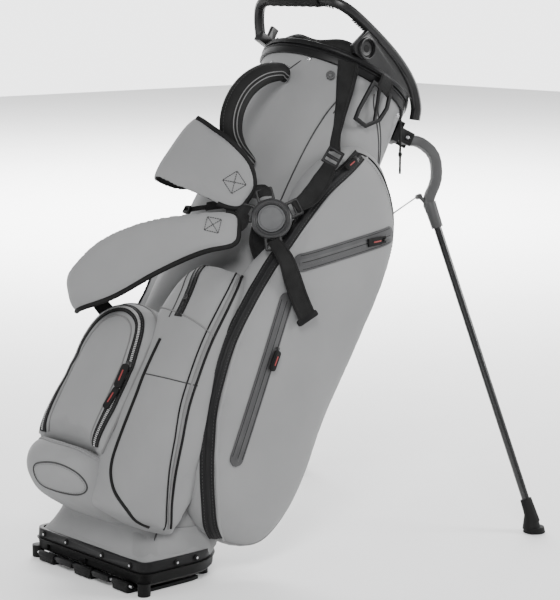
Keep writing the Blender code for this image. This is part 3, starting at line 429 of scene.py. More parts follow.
def slab(name, outline, low, high, place, normal, up, look, body="bag", bevel=0.0006, holes=()):
    """A plate: its outline across and up, its thickness along normal, its edges rounded."""
    z = Vector(normal).normalized()
    x = Vector(up).cross(z).normalized()
    turn = Matrix.Translation(place) @ Matrix((x, z.cross(x), z)).transposed().to_4x4()
    shape = bpy.data.curves.new(name, "CURVE")
    shape.dimensions, shape.fill_mode = "2D", "BOTH"
    for loop in (outline, *holes):
        spline = shape.splines.new("POLY")
        spline.points.add(len(loop) - 1)
        for point, (a, b) in zip(spline.points, loop):
            point.co = (a, b, 0, 1)
        spline.use_cyclic_u = True
    shape.extrude = (high - low) / 2 - bevel
    shape.bevel_depth, shape.bevel_resolution, shape.offset = bevel, 2, -bevel
    holder = bpy.data.objects.new(name, shape)
    SCENE.collection.objects.link(holder)
    bpy.context.view_layer.update()
    mesh = bpy.data.meshes.new_from_object(holder.evaluated_get(bpy.context.evaluated_depsgraph_get()))
    bpy.data.objects.remove(holder, do_unlink=True)
    mesh.transform(turn @ Matrix.Translation((0, 0, (low + high) / 2)))
    bm = bmesh.new()
    bm.from_mesh(mesh)
    bmesh.ops.remove_doubles(bm, verts=bm.verts, dist=1e-6)
    bmesh.ops.recalc_face_normals(bm, faces=bm.faces)
    bm.to_mesh(mesh)
    bm.free()
    return piece(name, mesh, look, body, 35)


def rounded(width, height, radius, steps=4):
    points = []
    a, b = width / 2 - radius, height / 2 - radius
    for cx, cy, start in ((a, b, 0), (-a, b, 90), (-a, -b, 180), (a, -b, 270)):
        for k in range(steps + 1):
            t = math.radians(start + 90 * k / steps)
            points.append((cx + radius * math.cos(t), cy + radius * math.sin(t)))
    return points


def dressed(node, look, body="bag", bevel=0.0007, sharp=38.0):
    """The CAD node's own shape with its edges rounded and its facets shaded smooth."""
    source = frame["nodes"][node]
    mesh = source.data.copy()
    mesh.name = node + "_look"
    bm = bmesh.new()
    bm.from_mesh(mesh)
    bmesh.ops.remove_doubles(bm, verts=bm.verts, dist=2e-6)
    bmesh.ops.dissolve_limit(bm, angle_limit=math.radians(1.0), verts=bm.verts, edges=bm.edges)
    bm.to_mesh(mesh)
    bm.free()
    if mesh.attributes.get("custom_normal"):
        mesh.attributes.remove(mesh.attributes["custom_normal"])
    obj = piece(node + "_look", mesh, look, body, sharp)
    if bevel:
        rounding = obj.modifiers.new("edges", "BEVEL")
        rounding.width, rounding.segments = bevel, 2
        rounding.limit_method, rounding.angle_limit = "ANGLE", math.radians(40)
        rounding.use_clamp_overlap = True
    applied(obj)
    obj.data.set_sharp_from_angle(angle=math.radians(sharp))
    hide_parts(node)
    return obj


# ---------------------------------------------------------------- soft bodies: shell and pockets

# height at x = 0, how far the section lies level with the ground, half depth, half width, exponent
SECTIONS = np.array([(0.031 / math.cos(LEAN), 1.0, 0.063, 0.1255, 4.2), (0.095, 0.85, 0.0735, 0.1262, 3.5),
    (0.2, 0.4, 0.0905, 0.1262, 2.9), (0.35, 0.1, 0.106, 0.125, 2.45), (0.5, 0.0, 0.1125, 0.1235, 2.25),
    (0.65, 0.0, 0.111, 0.119, 2.1), (0.788, 0.0, 0.1082, 0.1165, 2.0)])


def superellipse(a, b, n, t):
    c, s = math.cos(t), math.sin(t)
    return a * math.copysign(abs(c) ** (2 / n), c), b * math.copysign(abs(s) ** (2 / n), s)


def body_ring(share, grow, count, folds=0.0):
    """A ring of the fabric tube at a share of its height, with the gathers of the cloth near its foot."""
    at = share * (len(SECTIONS) - 1)
    i = min(int(at), len(SECTIONS) - 2)
    f = at - i
    f = f * f * (3 - 2 * f) * 0.35 + f * 0.65
    height, level, a, b, n = SECTIONS[i] * (1 - f) + SECTIONS[i + 1] * f
    ring = []
    for k in range(count):
        t = 2 * math.pi * k / count
        fold = folds * (0.6 * math.sin(9 * t + 14 * height) + 0.4 * math.sin(17 * t - 21 * height + 1.3))
        x, y = superellipse(a + grow + fold, b + grow + fold, n, t)
        ring.append(B((x, y, height + level * x * math.tan(LEAN))))
    return ring


def body_shell():
    rows, count = 72, 128
    verts = []
    for r in range(rows + 1):
        share = r / rows
        folds = 0.0013 * max(0.0, 1 - share / 0.3) + 0.0006 * math.sin(math.pi * share) ** 2
        verts += body_ring(share, 0.0, count, folds if 0 < r < rows else 0.0)
    for r in range(rows, -1, -4):
        verts += body_ring(max(r / rows, 0.012), -0.003, count)
    obj = add("body_fabric", verts, rings_to_faces(len(verts) // count, count), GREY, sharp=50)
    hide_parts(*(name for name in frame["nodes"] if name.startswith(("shell_", "main_shell"))))
    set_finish(obj, "grey_fabric")
    return obj


body = body_shell()

SIDE = Matrix(((1, 0, 0, 0), (0, 0, -1, 0), (0, 1, 0, 0), (0, 0, 0, 1)))  # outline x, z; height along -y
FRONT = Matrix(((0, 0, -1, 0), (1, 0, 0, 0), (0, 1, 0, 0), (0, 0, 0, 1)))  # outline y, z; height along -x


def stuffed(name, outline, turn, levels, count=112, mirror=1):
    """A pocket's skin: its outline lofted through (height, size) levels, closed by a crowned face."""
    loop = curve([(x, y, 0) for x, y in outline], 0.004, closed=True)
    pick = np.linspace(0, len(loop), count, endpoint=False).astype(int)
    loop = loop[pick]
    middle = loop.mean(0)
    fine = curve([(h, s, 0) for h, s in levels], 0.03)
    verts = []
    for height, size, _ in fine:
        for point in loop:
            x, y, _ = middle + (point - middle) * size
            place = turn @ Vector((x, y, height))
            verts.append(B((place.x, place.y * mirror, place.z)))
    return add(name, verts, rings_to_faces(len(fine), count), GREY, sharp=0)


apparel_outline = mm((-100, 500), (-118, 400), (-122, 290), (-95, 190), (-50, 105), (0, 78), (55, 78), (98, 98),
    (122, 150), (128, 210), (122, 310), (124, 430), (121, 530), (108, 600), (70, 655), (15, 690), (-40, 680),
    (-85, 610))
apparel = stuffed("apparel_skin", apparel_outline, SIDE, ((0.106, 0.94), (0.12, 0.985), (0.134, 0.99),
    (0.146, 0.975), (0.1545, 0.93), (0.16, 0.86), (0.163, 0.74), (0.1645, 0.55), (0.165, 0.3), (0.1652, 0.06)))
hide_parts("apparel_pocket")

far_outline = mm((-50, 500), (-62, 400), (-64, 260), (-50, 150), (0, 105), (60, 110), (98, 160), (106, 260),
    (104, 400), (90, 510), (20, 545))
far_side = stuffed("far_pocket_skin", far_outline, SIDE, ((0.085, 0.96), (0.11, 0.995), (0.128, 0.99),
    (0.14, 0.965), (0.148, 0.91), (0.1525, 0.82), (0.1555, 0.65), (0.1568, 0.4), (0.157, 0.06)), count=96,
    mirror=-1)
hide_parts("far_side_pocket")

ball_outline = mm((-71, 123), (-73, 200), (-70, 280), (-53, 325), (-20, 344), (30, 346), (66, 330), (87, 290),
    (94, 210), (95, 123), (50, 119.5), (-30, 119.5))
ball = stuffed("ball_pocket_skin", ball_outline, FRONT, ((0.06, 0.985), (0.1, 1.0), (0.135, 1.0), (0.15, 0.99),
    (0.16, 0.965), (0.1675, 0.91), (0.1715, 0.83), (0.1745, 0.68), (0.176, 0.45), (0.1765, 0.08)), count=104)
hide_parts("ball_pocket")


def ovals(name, sections, n, node, count=104):
    verts = []
    fine = curve([(h, a, b) for h, _, _, a, b in sections], 0.008)
    cx, cy = sections[0][1], sections[0][2]
    for height, a, b in fine:
        for k in range(count):
            x, y = superellipse(a, b, n, 2 * math.pi * k / count)
            verts.append(B((cx + x, cy + y, height)))
    obj = add(name, verts, rings_to_faces(len(fine), count), GREY, sharp=0)
    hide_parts(node)
    return obj


def trimmed(obj, place, normal):
    """Cuts away what lies beyond a plane of the bag's axes, and closes the cut."""
    bm = bmesh.new()
    bm.from_mesh(obj.data)
    geom = bm.verts[:] + bm.edges[:] + bm.faces[:]
    done = bmesh.ops.bisect_plane(bm, geom=geom, plane_co=B(place), plane_no=BD(normal), clear_outer=True)
    rim = [e for e in done["geom_cut"] if isinstance(e, bmesh.types.BMEdge)]
    bmesh.ops.contextual_create(bm, geom=rim)
    bmesh.ops.recalc_face_normals(bm, faces=bm.faces)
    bm.to_mesh(obj.data)
    bm.free()


corner = ovals("corner_pocket_skin", mm((56, -80, -78, 55, 52), (66, 0, 0, 66, 61), (120, 0, 0, 80, 71),
    (240, 0, 0, 84, 74), (340, 0, 0, 80, 70), (400, 0, 0, 69, 62), (430, 0, 0, 50, 48)), 2.6, "corner_pocket")
gusset = ovals("gusset_skin", mm((52, -45, 12, 100, 78), (58, 0, 0, 118, 84), (75, 0, 0, 142, 90),
    (95, 0, 0, 150, 93), (110, 0, 0, 148, 92), (121.5, 0, 0, 140, 89)), 3.0, "ball_pocket_gusset")
trimmed(corner, (-0.045, 0, 0), (1, 0, 0))
trimmed(gusset, (-0.03, 0, 0), (1, 0, 0))


def inflate(jobs):
    """Swells each soft piece with a cloth simulation and keeps the result in its mesh.

    jobs lists (piece, voxel, pressure, greatest move), in metres.
    """
    starts = []
    for obj, voxel, pressure, _ in jobs:
        remesh = obj.modifiers.new("remesh", "REMESH")
        remesh.mode, remesh.voxel_size = "VOXEL", voxel
        applied(obj)
        settle = obj.modifiers.new("settle", "SMOOTH")
        settle.iterations, settle.factor = 3, 0.5
        applied(obj)
        obj.data.name = obj.name
        starts.append(np.array([v.co[:] for v in obj.data.vertices]))
        cloth = obj.modifiers.new("cloth", "CLOTH")
        cloth.settings.quality = 4
        cloth.settings.mass = 0.25
        cloth.settings.tension_stiffness = cloth.settings.compression_stiffness = 12
        cloth.settings.bending_stiffness = 1.2
        cloth.settings.use_pressure = True
        cloth.settings.uniform_pressure_force = pressure
        cloth.settings.effector_weights.gravity = 0.0
        cloth.collision_settings.use_collision = False
        cloth.point_cache.frame_start, cloth.point_cache.frame_end = 1, 20
    for step in range(1, 21):
        SCENE.frame_set(step)
    graph = bpy.context.evaluated_depsgraph_get()
    ends = []
    for obj, *_ in jobs:
        mesh = obj.evaluated_get(graph).to_mesh()
        ends.append(np.array([v.co[:] for v in mesh.vertices]))
        obj.evaluated_get(graph).to_mesh_clear()
    for (obj, _, _, most), start, end in zip(jobs, starts, ends):
        obj.modifiers.clear()
        move = end - start
        size = np.linalg.norm(move, axis=1, keepdims=True)
        capped = start + move / np.maximum(size, 1e-9) * most * np.tanh(size / most)
        obj.data.vertices.foreach_set("co", capped.astype(np.float32).ravel())
        obj.data.update()
        finer = obj.modifiers.new("finer", "SUBSURF")
        finer.levels = finer.render_levels = 1
        applied(obj)
        obj.data.materials.clear()
        obj.data.materials.append(GREY)
    SCENE.frame_set(1)


inflate([(apparel, 0.006, 3.0, 0.005), (far_side, 0.006, 3.0, 0.006), (ball, 0.005, 2.0, 0.003), (corner, 0.006,
    3.0, 0.004), (gusset, 0.005, 3.0, 0.004)])
for soft, fill in ((apparel, 0.6), (far_side, 0.5), (ball, 0.7), (corner, 0.6), (gusset, 0.5)):
    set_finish(soft, "grey_fabric")


# ---------------------------------------------------------------- laying seams and zips on the cloth


def tree_of(*objects):
    bm = bmesh.new()
    for obj in objects:
        bm.from_mesh(obj.data)
    tree = BVHTree.FromBMesh(bm)
    bm.free()
    return tree


SKINS = {"all": tree_of(body, apparel, ball, corner, gusset, far_side), "body": tree_of(body),
    "apparel": tree_of(apparel), "ball": tree_of(ball), "corner": tree_of(corner), "gusset": tree_of(gusset),
    "far": tree_of(far_side)}


def lay(points, skin, lift=0.0, closed=False):
    """A smooth path on a skin near the given points of the bag's axes, and the skin's normals along it."""
    path = curve([B(p) for p in points], 0.004, closed)
    tree = SKINS[skin]
    places, normals = [], []
    for point in path:
        place, normal, _, _ = tree.find_nearest(Vector(point))
        places.append(place)
        normals.append(normal)
    places, normals = np.array([tuple(p) for p in places]), np.array([tuple(n) for n in normals])
    normals = unit(smoothed(normals, 6, closed))
    places = smoothed(places, 3, closed)
    return places + normals * lift, normals


def seam(name, points, skin, radius=0.0011, look=THREAD, closed=False):
    """A raised line along the cloth: a row of thread, or piping."""
    path, normals = lay(points, skin, closed=closed)
    return sweep(name, path, normals, circle(radius, 0.0003), look, closed=closed)


STITCH, STITCH_GAP = 0.0032, 0.0016


def stitched(name, path, normals, side=0.0, lift=0.0006, look=THREAD_GREY):
    size = (0.0007, STITCH, 0.0005)
    return scatter(name, path, normals, STITCH + STITCH_GAP, size, look, side=side, lift=lift)


def zip_on(name, points, skin, width, teeth=None):
    """A zip laid on the cloth: its tape, a raised middle, a bound edge on either side and its teeth."""
    path, normals = lay(points, skin)
    sweep(name + "_tape", path, normals, flat(width, 0.001, 0.0006, 8), TAPE)
    sweep(name + "_ridge", path, normals, flat(width * 0.3, 0.0018, 0.0008), TAPE)
    for side, tag in ((-1, "a"), (1, "b")):
        offset = unit(np.cross(tangents(path), normals)) * side * width * 0.5
        sweep(name + "_edge_" + tag, path + offset, normals, circle(0.0009, 0.0006), BINDING)
        stitched(name + "_stitch_" + tag, path + offset * 0.72, normals, lift=0.0014, look=THREAD)
    if teeth:
        scatter(name + "_teeth", path, normals, 0.0026, (width * 0.3, 0.0015, 0.001), teeth, lift=0.0022)


long_zip = mm((-29, -156, 668), (-45, -160, 636), (-69, -160, 589), (-83, -159, 542), (-93, -157, 500),
    (-104, -155, 453), (-112, -155, 385), (-114, -155, 332), (-108, -157, 282), (-97, -157, 236),
    (-80, -159, 196), (-61, -159, 161), (-37, -157, 127), (-9, -152, 97), (20, -144, 80))
zip_on("long_zip", long_zip, "apparel", 0.018)
outer_run, outer_normals = lay([(x + 0.015, y, z + 0.004) for x, y, z in long_zip], "apparel")
sweep("long_zip_welt", outer_run, outer_normals, flat(0.005, 0.0004, 0.0014), GREY)
stitched("long_zip_welt_stitches", outer_run, outer_normals, side=0.0034)

edge_run = mm((-112, -128, 470), (-121, -137, 411), (-127, -139, 354), (-130, -141, 318), (-129, -143, 275),
    (-125, -146, 226), (-114, -148, 180), (-101, -148, 134), (-83, -145, 98), (-60, -136, 70))
seam("pocket_edge_piping_a", edge_run, "corner", 0.0019, BINDING)
seam("pocket_edge_piping_b", [(x - 0.004, y + 0.004, z) for x, y, z in edge_run], "corner", 0.0017, GREY_EDGE)
seam("pocket_edge_piping_c", [(x - 0.0085, y + 0.009, z) for x, y, z in edge_run], "corner", 0.0012, BINDING)

seam("ball_side_piping", mm((-155, -79, 300), (-162, -80, 245), (-163, -83, 211), (-163, -85, 157),
    (-159, -88, 116), (-149, -100, 89), (-126, -118, 70), (-90, -128, 62)), "corner", 0.0024, BINDING)

ball_zip = mm((-172, -50, 128), (-174, -52, 200), (-172, -50, 262), (-168, -36, 308), (-166, -8, 326),
    (-166, 26, 328), (-167, 55, 312), (-170, 70, 272), (-172, 74, 200), (-172, 74, 128))
zip_on("ball_zip", ball_zip, "ball", 0.013, TEETH)
inner = [(x - 0.002, y * 0.8 + 0.002, 0.122 + (z - 0.122) * 0.94) for x, y, z in ball_zip]
seam("ball_face_seam", inner, "ball", 0.0012, GREY_EDGE)
outer_ball = [(x + 0.012, y * 1.17 - 0.001, 0.122 + (z - 0.122) * 1.045) for x, y, z in ball_zip]
seam("ball_rim_piping", outer_ball, "ball", 0.0018, GREY_EDGE)

hem = mm((-60, 102, 122), (-120, 100, 122), (-160, 86, 122), (-184, 40, 121), (-185, -10, 121),
    (-172, -50, 122), (-150, -74, 123))
hem_path, hem_normals = lay(hem, "gusset")
sweep("gusset_hem", hem_path, hem_normals, flat(0.008, 0.0008, 0.0012), GREY)
stitched("gusset_hem_stitches", hem_path, hem_normals, side=0.0028, lift=0.0016)
oval_seam = mm((-187, 36, 77), (-190, 15, 85), (-189, -18, 90), (-178, -45, 88), (-166, -58, 80),
    (-160, -62, 70), (-157, -50, 62), (-160, -20, 58), (-160, 18, 58), (-165, 38, 64))
seam("gusset_oval", oval_seam, "gusset", 0.0012, THREAD, closed=True)
oval_path, oval_normals = lay(oval_seam, "gusset", closed=True)
stitched("gusset_oval_stitches", oval_path, oval_normals, side=0.003)

corner_zip = mm((-122, -50, 436), (-130, -60, 418), (-146, -80, 388), (-156, -88, 360), (-160, -90, 338))
zip_on("corner_zip", corner_zip, "corner", 0.012)
seam("corner_zip_line", [(x, y + 0.016, z - 0.004) for x, y, z in corner_zip], "corner", 0.001, THREAD)
seam("corner_seam", mm((-163, -82, 247), (-156, -110, 249), (-143, -135, 253), (-126, -146, 257)), "corner",
    0.0009, THREAD)
seam("corner_top_seam", mm((-155, -30, 349), (-162, -70, 345), (-160, -95, 342), (-148, -126, 336),
    (-128, -143, 328)), "corner", 0.0013, GREY_EDGE)

flap = mm((-33, -152, 668), (-4, -150, 668), (30, -150, 655), (62, -150, 636), (88, -148, 610),
    (104, -146, 570))
seam("flap_edge", flap, "apparel", 0.0015, BINDING)
flap_path, flap_normals = lay([(x - 0.004, y, z - 0.007) for x, y, z in flap], "apparel")
stitched("flap_stitches", flap_path, flap_normals)
seam("apparel_back_edge", mm((104, -146, 570), (112, -146, 500), (114, -146, 400), (113, -146, 300),
    (117, -146, 210), (108, -146, 140), (80, -146, 100), (30, -146, 83)), "apparel", 0.0014, GREY_EDGE)

body_line = mm((-57, -100, 760), (-61, -98, 735), (-67, -94, 709), (-73, -91, 662), (-77, -91, 603),
    (-78, -92, 545))
seam("body_seam_a", body_line, "body", 0.0011, THREAD)
seam("body_seam_b", [(x + 0.007, y - 0.004, z) for x, y, z in body_line], "body", 0.0011, THREAD)
side_line = mm((-17, -118, 770), (-10, -117, 755), (7, -117, 738), (30, -114, 716), (55, -103, 690),
    (78, -85, 660), (92, -68, 620), (96, -62, 560))
seam("side_seam_a", side_line, "body", 0.001, THREAD)
seam("side_seam_b", [(x + 0.006, y, z + 0.003) for x, y, z in side_line], "body", 0.001, THREAD)
patch_line = mm((-93, 55, 779), (-101, 40, 759), (-107, 10, 751), (-107, -18, 753), (-105, -29, 764),
    (-100, -40, 780))
seam("collar_patch_seam", patch_line, "body", 0.001, THREAD)
seam("back_seam_near", mm((100, -50, 775), (104, -50, 600), (103, -60, 350), (92, -75, 150)), "body", 0.0011,
    THREAD)
seam("back_seam_far", mm((100, 50, 775), (104, 50, 600), (103, 60, 350), (92, 75, 150)), "body", 0.0011, THREAD)
seam("foot_corner_seam", mm((-62, -112, 86), (-62, -113, 70), (-62, -114, 50), (-62, -115, 30)), "body", 0.0012,
    THREAD)
far_line = mm((-40, 150, 480), (-52, 150, 380), (-52, 150, 260), (-36, 150, 165), (10, 150, 125))
zip_on("far_zip", far_line, "far", 0.016)
seam("far_pocket_rim", mm((-30, 146, 515), (30, 146, 528), (85, 146, 490), (96, 146, 400), (98, 146, 260),
    (88, 146, 160), (50, 146, 120)), "far", 0.0015, GREY_EDGE)


# ---------------------------------------------------------------- moulded and metal pieces

for node, look, rider, bevel, sharp in (
        ("collar_ring", BLACK, "bag", 0.001, 38), ("top_handle", GLOSS, "bag", 0.0008, 38),
        ("handle_grip", RUBBER, "bag", 0.0005, 60), ("club_dividers", LINING, "bag", 0.0022, 60),
        ("base_boot", DEEP, "bag", 0.0008, 38), ("base_rim_band", BLACK, "bag", 0.0005, 38),
        ("foot_plate", DEEP, "foot_plate_body", 0.0006, 38), ("hinge_lug_a", BLACK, "bag", 0.0005, 38),
        ("hinge_lug_b", BLACK, "bag", 0.0005, 38), ("foot_hinge_pin", STEEL, "bag", 0.0003, 38),
        ("rod_guide", BLACK, "bag", 0.0004, 38), ("push_rod", STEEL, "push_rod_body", 0.0005, 38),
        ("ladder_buckle", BLACK, "bag", 0.0005, 38), ("accessory_ring", BLACK, "ring", 0.0008, 38),
        ("inclined_zip_slider", TEETH_DARK, "inclined_slider", 0.0002, 38),
        ("lower_zip_slider", TEETH_DARK, "lower_slider", 0.0002, 38),
        ("inclined_zip_puller", RUBBER, "inclined_pull", 0.0005, 38)):
    dressed(node, look, rider, bevel, sharp)
for side in ("near", "far"):
    for part, look, rider, bevel in (
            ("_leg_bracket", BLACK, "bag", 0.0008), ("_leg_pin", STEEL, "bag", 0.0004),
            ("_leg_arm", ARM, side + "_leg", 0.0009), ("_leg_tube", TUBE, side + "_leg", 0.0),
            ("_leg_foot", RUBBER, side + "_leg", 0.0008), ("_push_wire", STEEL, side + "_wire", 0.0)):
        dressed(side + part, look, rider, bevel)

# crest: a quilted roll on the collar, high at both ends and low between them, with a bound edge
CREST_FOOT = 0.8035
crest_rows, crest_edge = [], []
for k in range(97):
    share = k / 96
    t = math.radians(180 - 50 + 111 * share)
    top = 0.812 + 0.01 * (2 * abs(share - 0.4)) ** 1.5 + 0.0035 * math.sin(share * 17)
    end = min(1.0, min(share, 1 - share) / 0.05) ** 0.5
    half = (0.0042 + 0.0009 * abs(math.sin(share * 40))) * (0.55 + 0.45 * end)
    rx, ry = 0.113 * 0.8975, 0.1215 * 0.8975
    top = 0.804 + (top - 0.804) * (0.35 + 0.65 * end)
    out = Vector((math.cos(t) / rx, math.sin(t) / ry, 0)).normalized()
    centre = Vector((rx * math.cos(t), ry * math.sin(t), 0))
    middle, shoulder = 0.5 * (CREST_FOOT + top), top - 0.0022
    for a, z in ((-half * 0.9, CREST_FOOT), (-half, middle), (-half * 0.8, shoulder), (-half * 0.4, top),
                 (half * 0.4, top), (half * 0.8, shoulder), (half, middle), (half * 0.9, CREST_FOOT)):
        crest_rows.append(B(centre + out * a + Vector((0, 0, z))))
    crest_edge.append(B(centre + Vector((0, 0, top + 0.0004))))
crest = add("crest_roll", crest_rows, rings_to_faces(97, 8), PAD, sharp=0)
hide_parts("collar_crest")
sweep("crest_binding", curve(crest_edge, 0.003), BD((0, 0, 1)), circle(0.0018, 0.0, 10), BINDING)

# foot of the fabric tube: a skirt that flares from the tube to the band of the boot, and the band's rivets
BOOT_FRONT, BOOT_BACK, BOOT_HALF = -0.056, 0.105, 0.13
BOOT_MIDDLE = (BOOT_FRONT + BOOT_BACK) / 2
BAND_SCREWS = 0.0375  # height of the rivets in the band


def boot_edge(angle, grow, height):
    """The boot's outline, in the given direction from its middle, with the band's lean to the back."""
    c, s = math.cos(angle), math.sin(angle)
    deep, half = (BOOT_BACK - BOOT_FRONT) / 2 + grow, BOOT_HALF + grow
    power = 9.0 if c < 0 else 3.4
    reach = (abs(c / deep) ** power + abs(s / half) ** power) ** (-1 / power)
    x = BOOT_MIDDLE + reach * c
    x += max(x, 0) * (height - 0.03) * math.tan(LEAN) / BOOT_BACK
    return Vector((x, reach * s, height))


skirt, steps, count = [], 14, 128
for step in range(steps + 1):
    share = step / steps
    start = body_ring(0.165, 0.0012, count)
    for k, high in enumerate(start):
        t = 2 * math.pi * k / count
        low = boot_edge(math.atan2(high.y, high.x - BOOT_MIDDLE), -0.003, 0.0425)
        gather = 0.0012 * math.sin(15 * t + 1.0) * math.sin(math.pi * share)
        drop = share ** 0.85
        point = high.lerp(low, drop)
        flare = Vector((point.x - BOOT_MIDDLE, point.y,
            0)).normalized() * (gather - 0.004 * math.sin(math.pi * share))
        skirt.append(point + flare)
skirt_rows = list(skirt)
for step in (steps, 0):
    skirt_rows += [p - Vector((p.x - BOOT_MIDDLE, p.y,
        0)).normalized() * 0.0025 for p in skirt[step * count:(step + 1) * count]]
faces = rings_to_faces(steps + 3, count, caps=False)
faces += [((steps + 2) * count + k, (steps + 2) * count + (k + 1) % count, (k + 1) % count,
    k) for k in range(count)]
add("foot_skirt", skirt_rows, faces, GREY, sharp=60)
for number, (x, y) in enumerate(((-0.0574, 0.105), (-0.0574, 0.05), (-0.0574, -0.035), (-0.0574, -0.1),
                                 (0.0, -0.1324), (0.035, -0.1324), (0.0, 0.1324), (0.035, 0.1324))):
    out = Vector((-1, 0, 0)) if x < -0.05 else Vector((0, math.copysign(1, y), 0))
    for radius, rise, look in ((0.0046, 0.0004, DEEP), (0.0019, 0.001, STEEL)):
        lathe(f"band_rivet_{number}_{look.name}", [(radius, -0.001), (radius, rise), (radius * 0.86,
            rise + 0.0006), (radius * 0.5, rise + 0.0009), (radius * 0.06, rise + 0.0009)], Vector((x, y,
            BAND_SCREWS)), out, look, steps=24)

# groove lines, fixing screws and the plain stud of the collar
for height, grow in ((0.7935, 0.0001), (0.7985, 0.0001)):
    loop = [B((0.113 * math.cos(t), 0.1215 * math.sin(t), height)) for t in np.linspace(0, 2 * math.pi,
        96)[:-1]]
    out = [BD((math.cos(t), math.sin(t), 0)) for t in np.linspace(0, 2 * math.pi, 96)[:-1]]
    sweep(f"collar_bead_{int(height * 10000)}", np.array([tuple(p) for p in loop]),
        np.array([tuple(n) for n in out]), circle(0.0009, grow), BLACK, closed=True)


def screw(name, place, normal):
    """The domed head of a small screw, with its socket."""
    radius = 0.0034
    profile = [(radius * 1.15, -0.001), (radius * 1.15, 0.0006), (radius, 0.0014), (radius * 0.72, 0.002),
        (radius * 0.42, 0.0021), (radius * 0.36, 0.0012), (radius * 0.05, 0.0012)]
    lathe(name, profile, B(place), BD(normal), STEEL, steps=28)


for number, (x, y, z) in enumerate(((-0.098, -0.046, 0.779), (-0.1065, 0.02, 0.764), (-0.092, 0.064, 0.768),
                                    (0.056, -0.101, 0.774), (0.086, -0.072, 0.773), (0.086, 0.072, 0.773),
                                    (0.056, 0.101, 0.774), (-0.056, 0.102, 0.774))):
    normal = Vector((x / 0.0117, y / 0.0136, 0)).normalized()
    edge = Vector((0.1084 * math.cos(math.atan2(y / 0.1167, x / 0.1084)),
        0.1167 * math.sin(math.atan2(y / 0.1167, x / 0.1084)), z))
    screw(f"collar_screw_{number}", edge, normal)
stud_out = Vector((-0.7, -0.71, 0)).normalized()
stud_profile = mm((6.6, -0.5), (6.8, 1.8), (6, 2.8), (5.2, 2.8), (4.8, 2), (3.8, 2), (3.4, 3), (2.4, 3.4),
    (0.3, 3.5))
stud = lathe("collar_stud_look", stud_profile, B((-0.08, -0.0835, 0.764)), BD(stud_out), ARM, steps=40)
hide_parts("collar_stud")

# ribs under the rail of the top handle, and its recessed knob with a turned ring
rail = curve(mm((10, -98.5, 836), (-45, -98.5, 844), (-95, -96, 848.8)), 0.002)
scatter("rail_ribs", [B(p) for p in rail], np.tile(np.array(tuple(BD((0, 0, -1)))), (len(rail), 1)), 0.0046,
    (0.0085, 0.0026, 0.0012), BLACK)
far_rail = curve(mm((-122.5, -80, 851.5), (-129.5, -62, 851.8), (-131, 0, 852.2), (-129, 62, 850.8),
    (-121.5, 83, 845)), 0.002)
scatter("rail_ribs_far", [B(p) for p in far_rail], np.tile(np.array(tuple(BD((0, 0, -1)))), (len(far_rail), 1)),
    0.0046, (0.0085, 0.0026, 0.0012), BLACK)
knob_profile = mm((12.8, -3), (12.8, 0.6), (11.8, 1.4), (10.4, 1.4), (9.8, 0.4), (6, 0.4), (5.2, 1.2),
    (0.4, 1.3))
lathe("handle_knob", knob_profile, B((-0.054, -0.1022, 0.824)), BD((0, -1, 0)), DEEP, steps=48)
sweep("handle_web_rib", [B(p) for p in curve(mm((-40, -103.6, 846), (12, -103.6, 836), (52, -103.6, 820),
    (78, -103.6, 798)), 0.004)], BD((0, -1, 0)), flat(0.003, 0.0009, 0.0004), BLACK)

# hub: a turned body with rings, its rubber disc, and four ladder frames that the webbing passes
HUB = Vector((-0.118, -0.1385, 0.515))
HUB_OUT = Vector((-0.72, -0.69, -0.08)).normalized()
hub_profile = mm((27, 0), (28.8, 1.2), (29, 5), (28.2, 8.2), (26.2, 10), (24.4, 10.4), (23.6, 9.8), (22.8, 9.2),
    (21.8, 9.4), (20.8, 10), (19.9, 9.2), (19.6, 6.4), (2, 6.2))
hub = lathe("hub_body", hub_profile, B(HUB), BD(HUB_OUT), HUB_GREY, steps=96)
disc_profile = mm((19.2, 5.8), (19.3, 9.2), (18.7, 10), (17.6, 10.1), (17.1, 9.6), (16.4, 9.6), (15.9, 10.2),
    (12, 10.6), (6, 10.9), (0.4, 11))
disc = lathe("hub_disc_look", disc_profile, B(HUB), BD(HUB_OUT), HUB_DISC, steps=96)
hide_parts("hub_disc")
hub_z = HUB_OUT
hub_x = Vector((0, 0, 1)).cross(hub_z).normalized()
hub_y = hub_z.cross(hub_x)


def from_hub(angle, along, across=0.0, up=0.0):
    """A point of the bag's axes beside the hub: along one of its arms, across it, and above its foot."""
    t = math.radians(angle)
    direction = hub_x * math.cos(t) + hub_y * math.sin(t)
    side = hub_z.cross(direction)
    return HUB + direction * along + side * across + hub_z * up


for angle in (128, 48, 188, -62):
    t = math.radians(angle)
    direction = hub_x * math.cos(t) + hub_y * math.sin(t)
    slot = rounded(0.017, 0.0052, 0.0012)
    slots = [[(a, b + 0.005) for a, b in slot], [(a, b - 0.0032) for a, b in slot]]
    slab(f"hub_frame_{angle % 360}", rounded(0.025, 0.021, 0.003), -0.002, 0.0024, B(from_hub(angle, 0.0345, 0,
        0.0046)), BD(hub_z), BD(direction), BLACK, bevel=0.0008, holes=[loop[::-1] for loop in slots])
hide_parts("strap_hub")


# ---------------------------------------------------------------- shoulder pads, carry handle, webbing


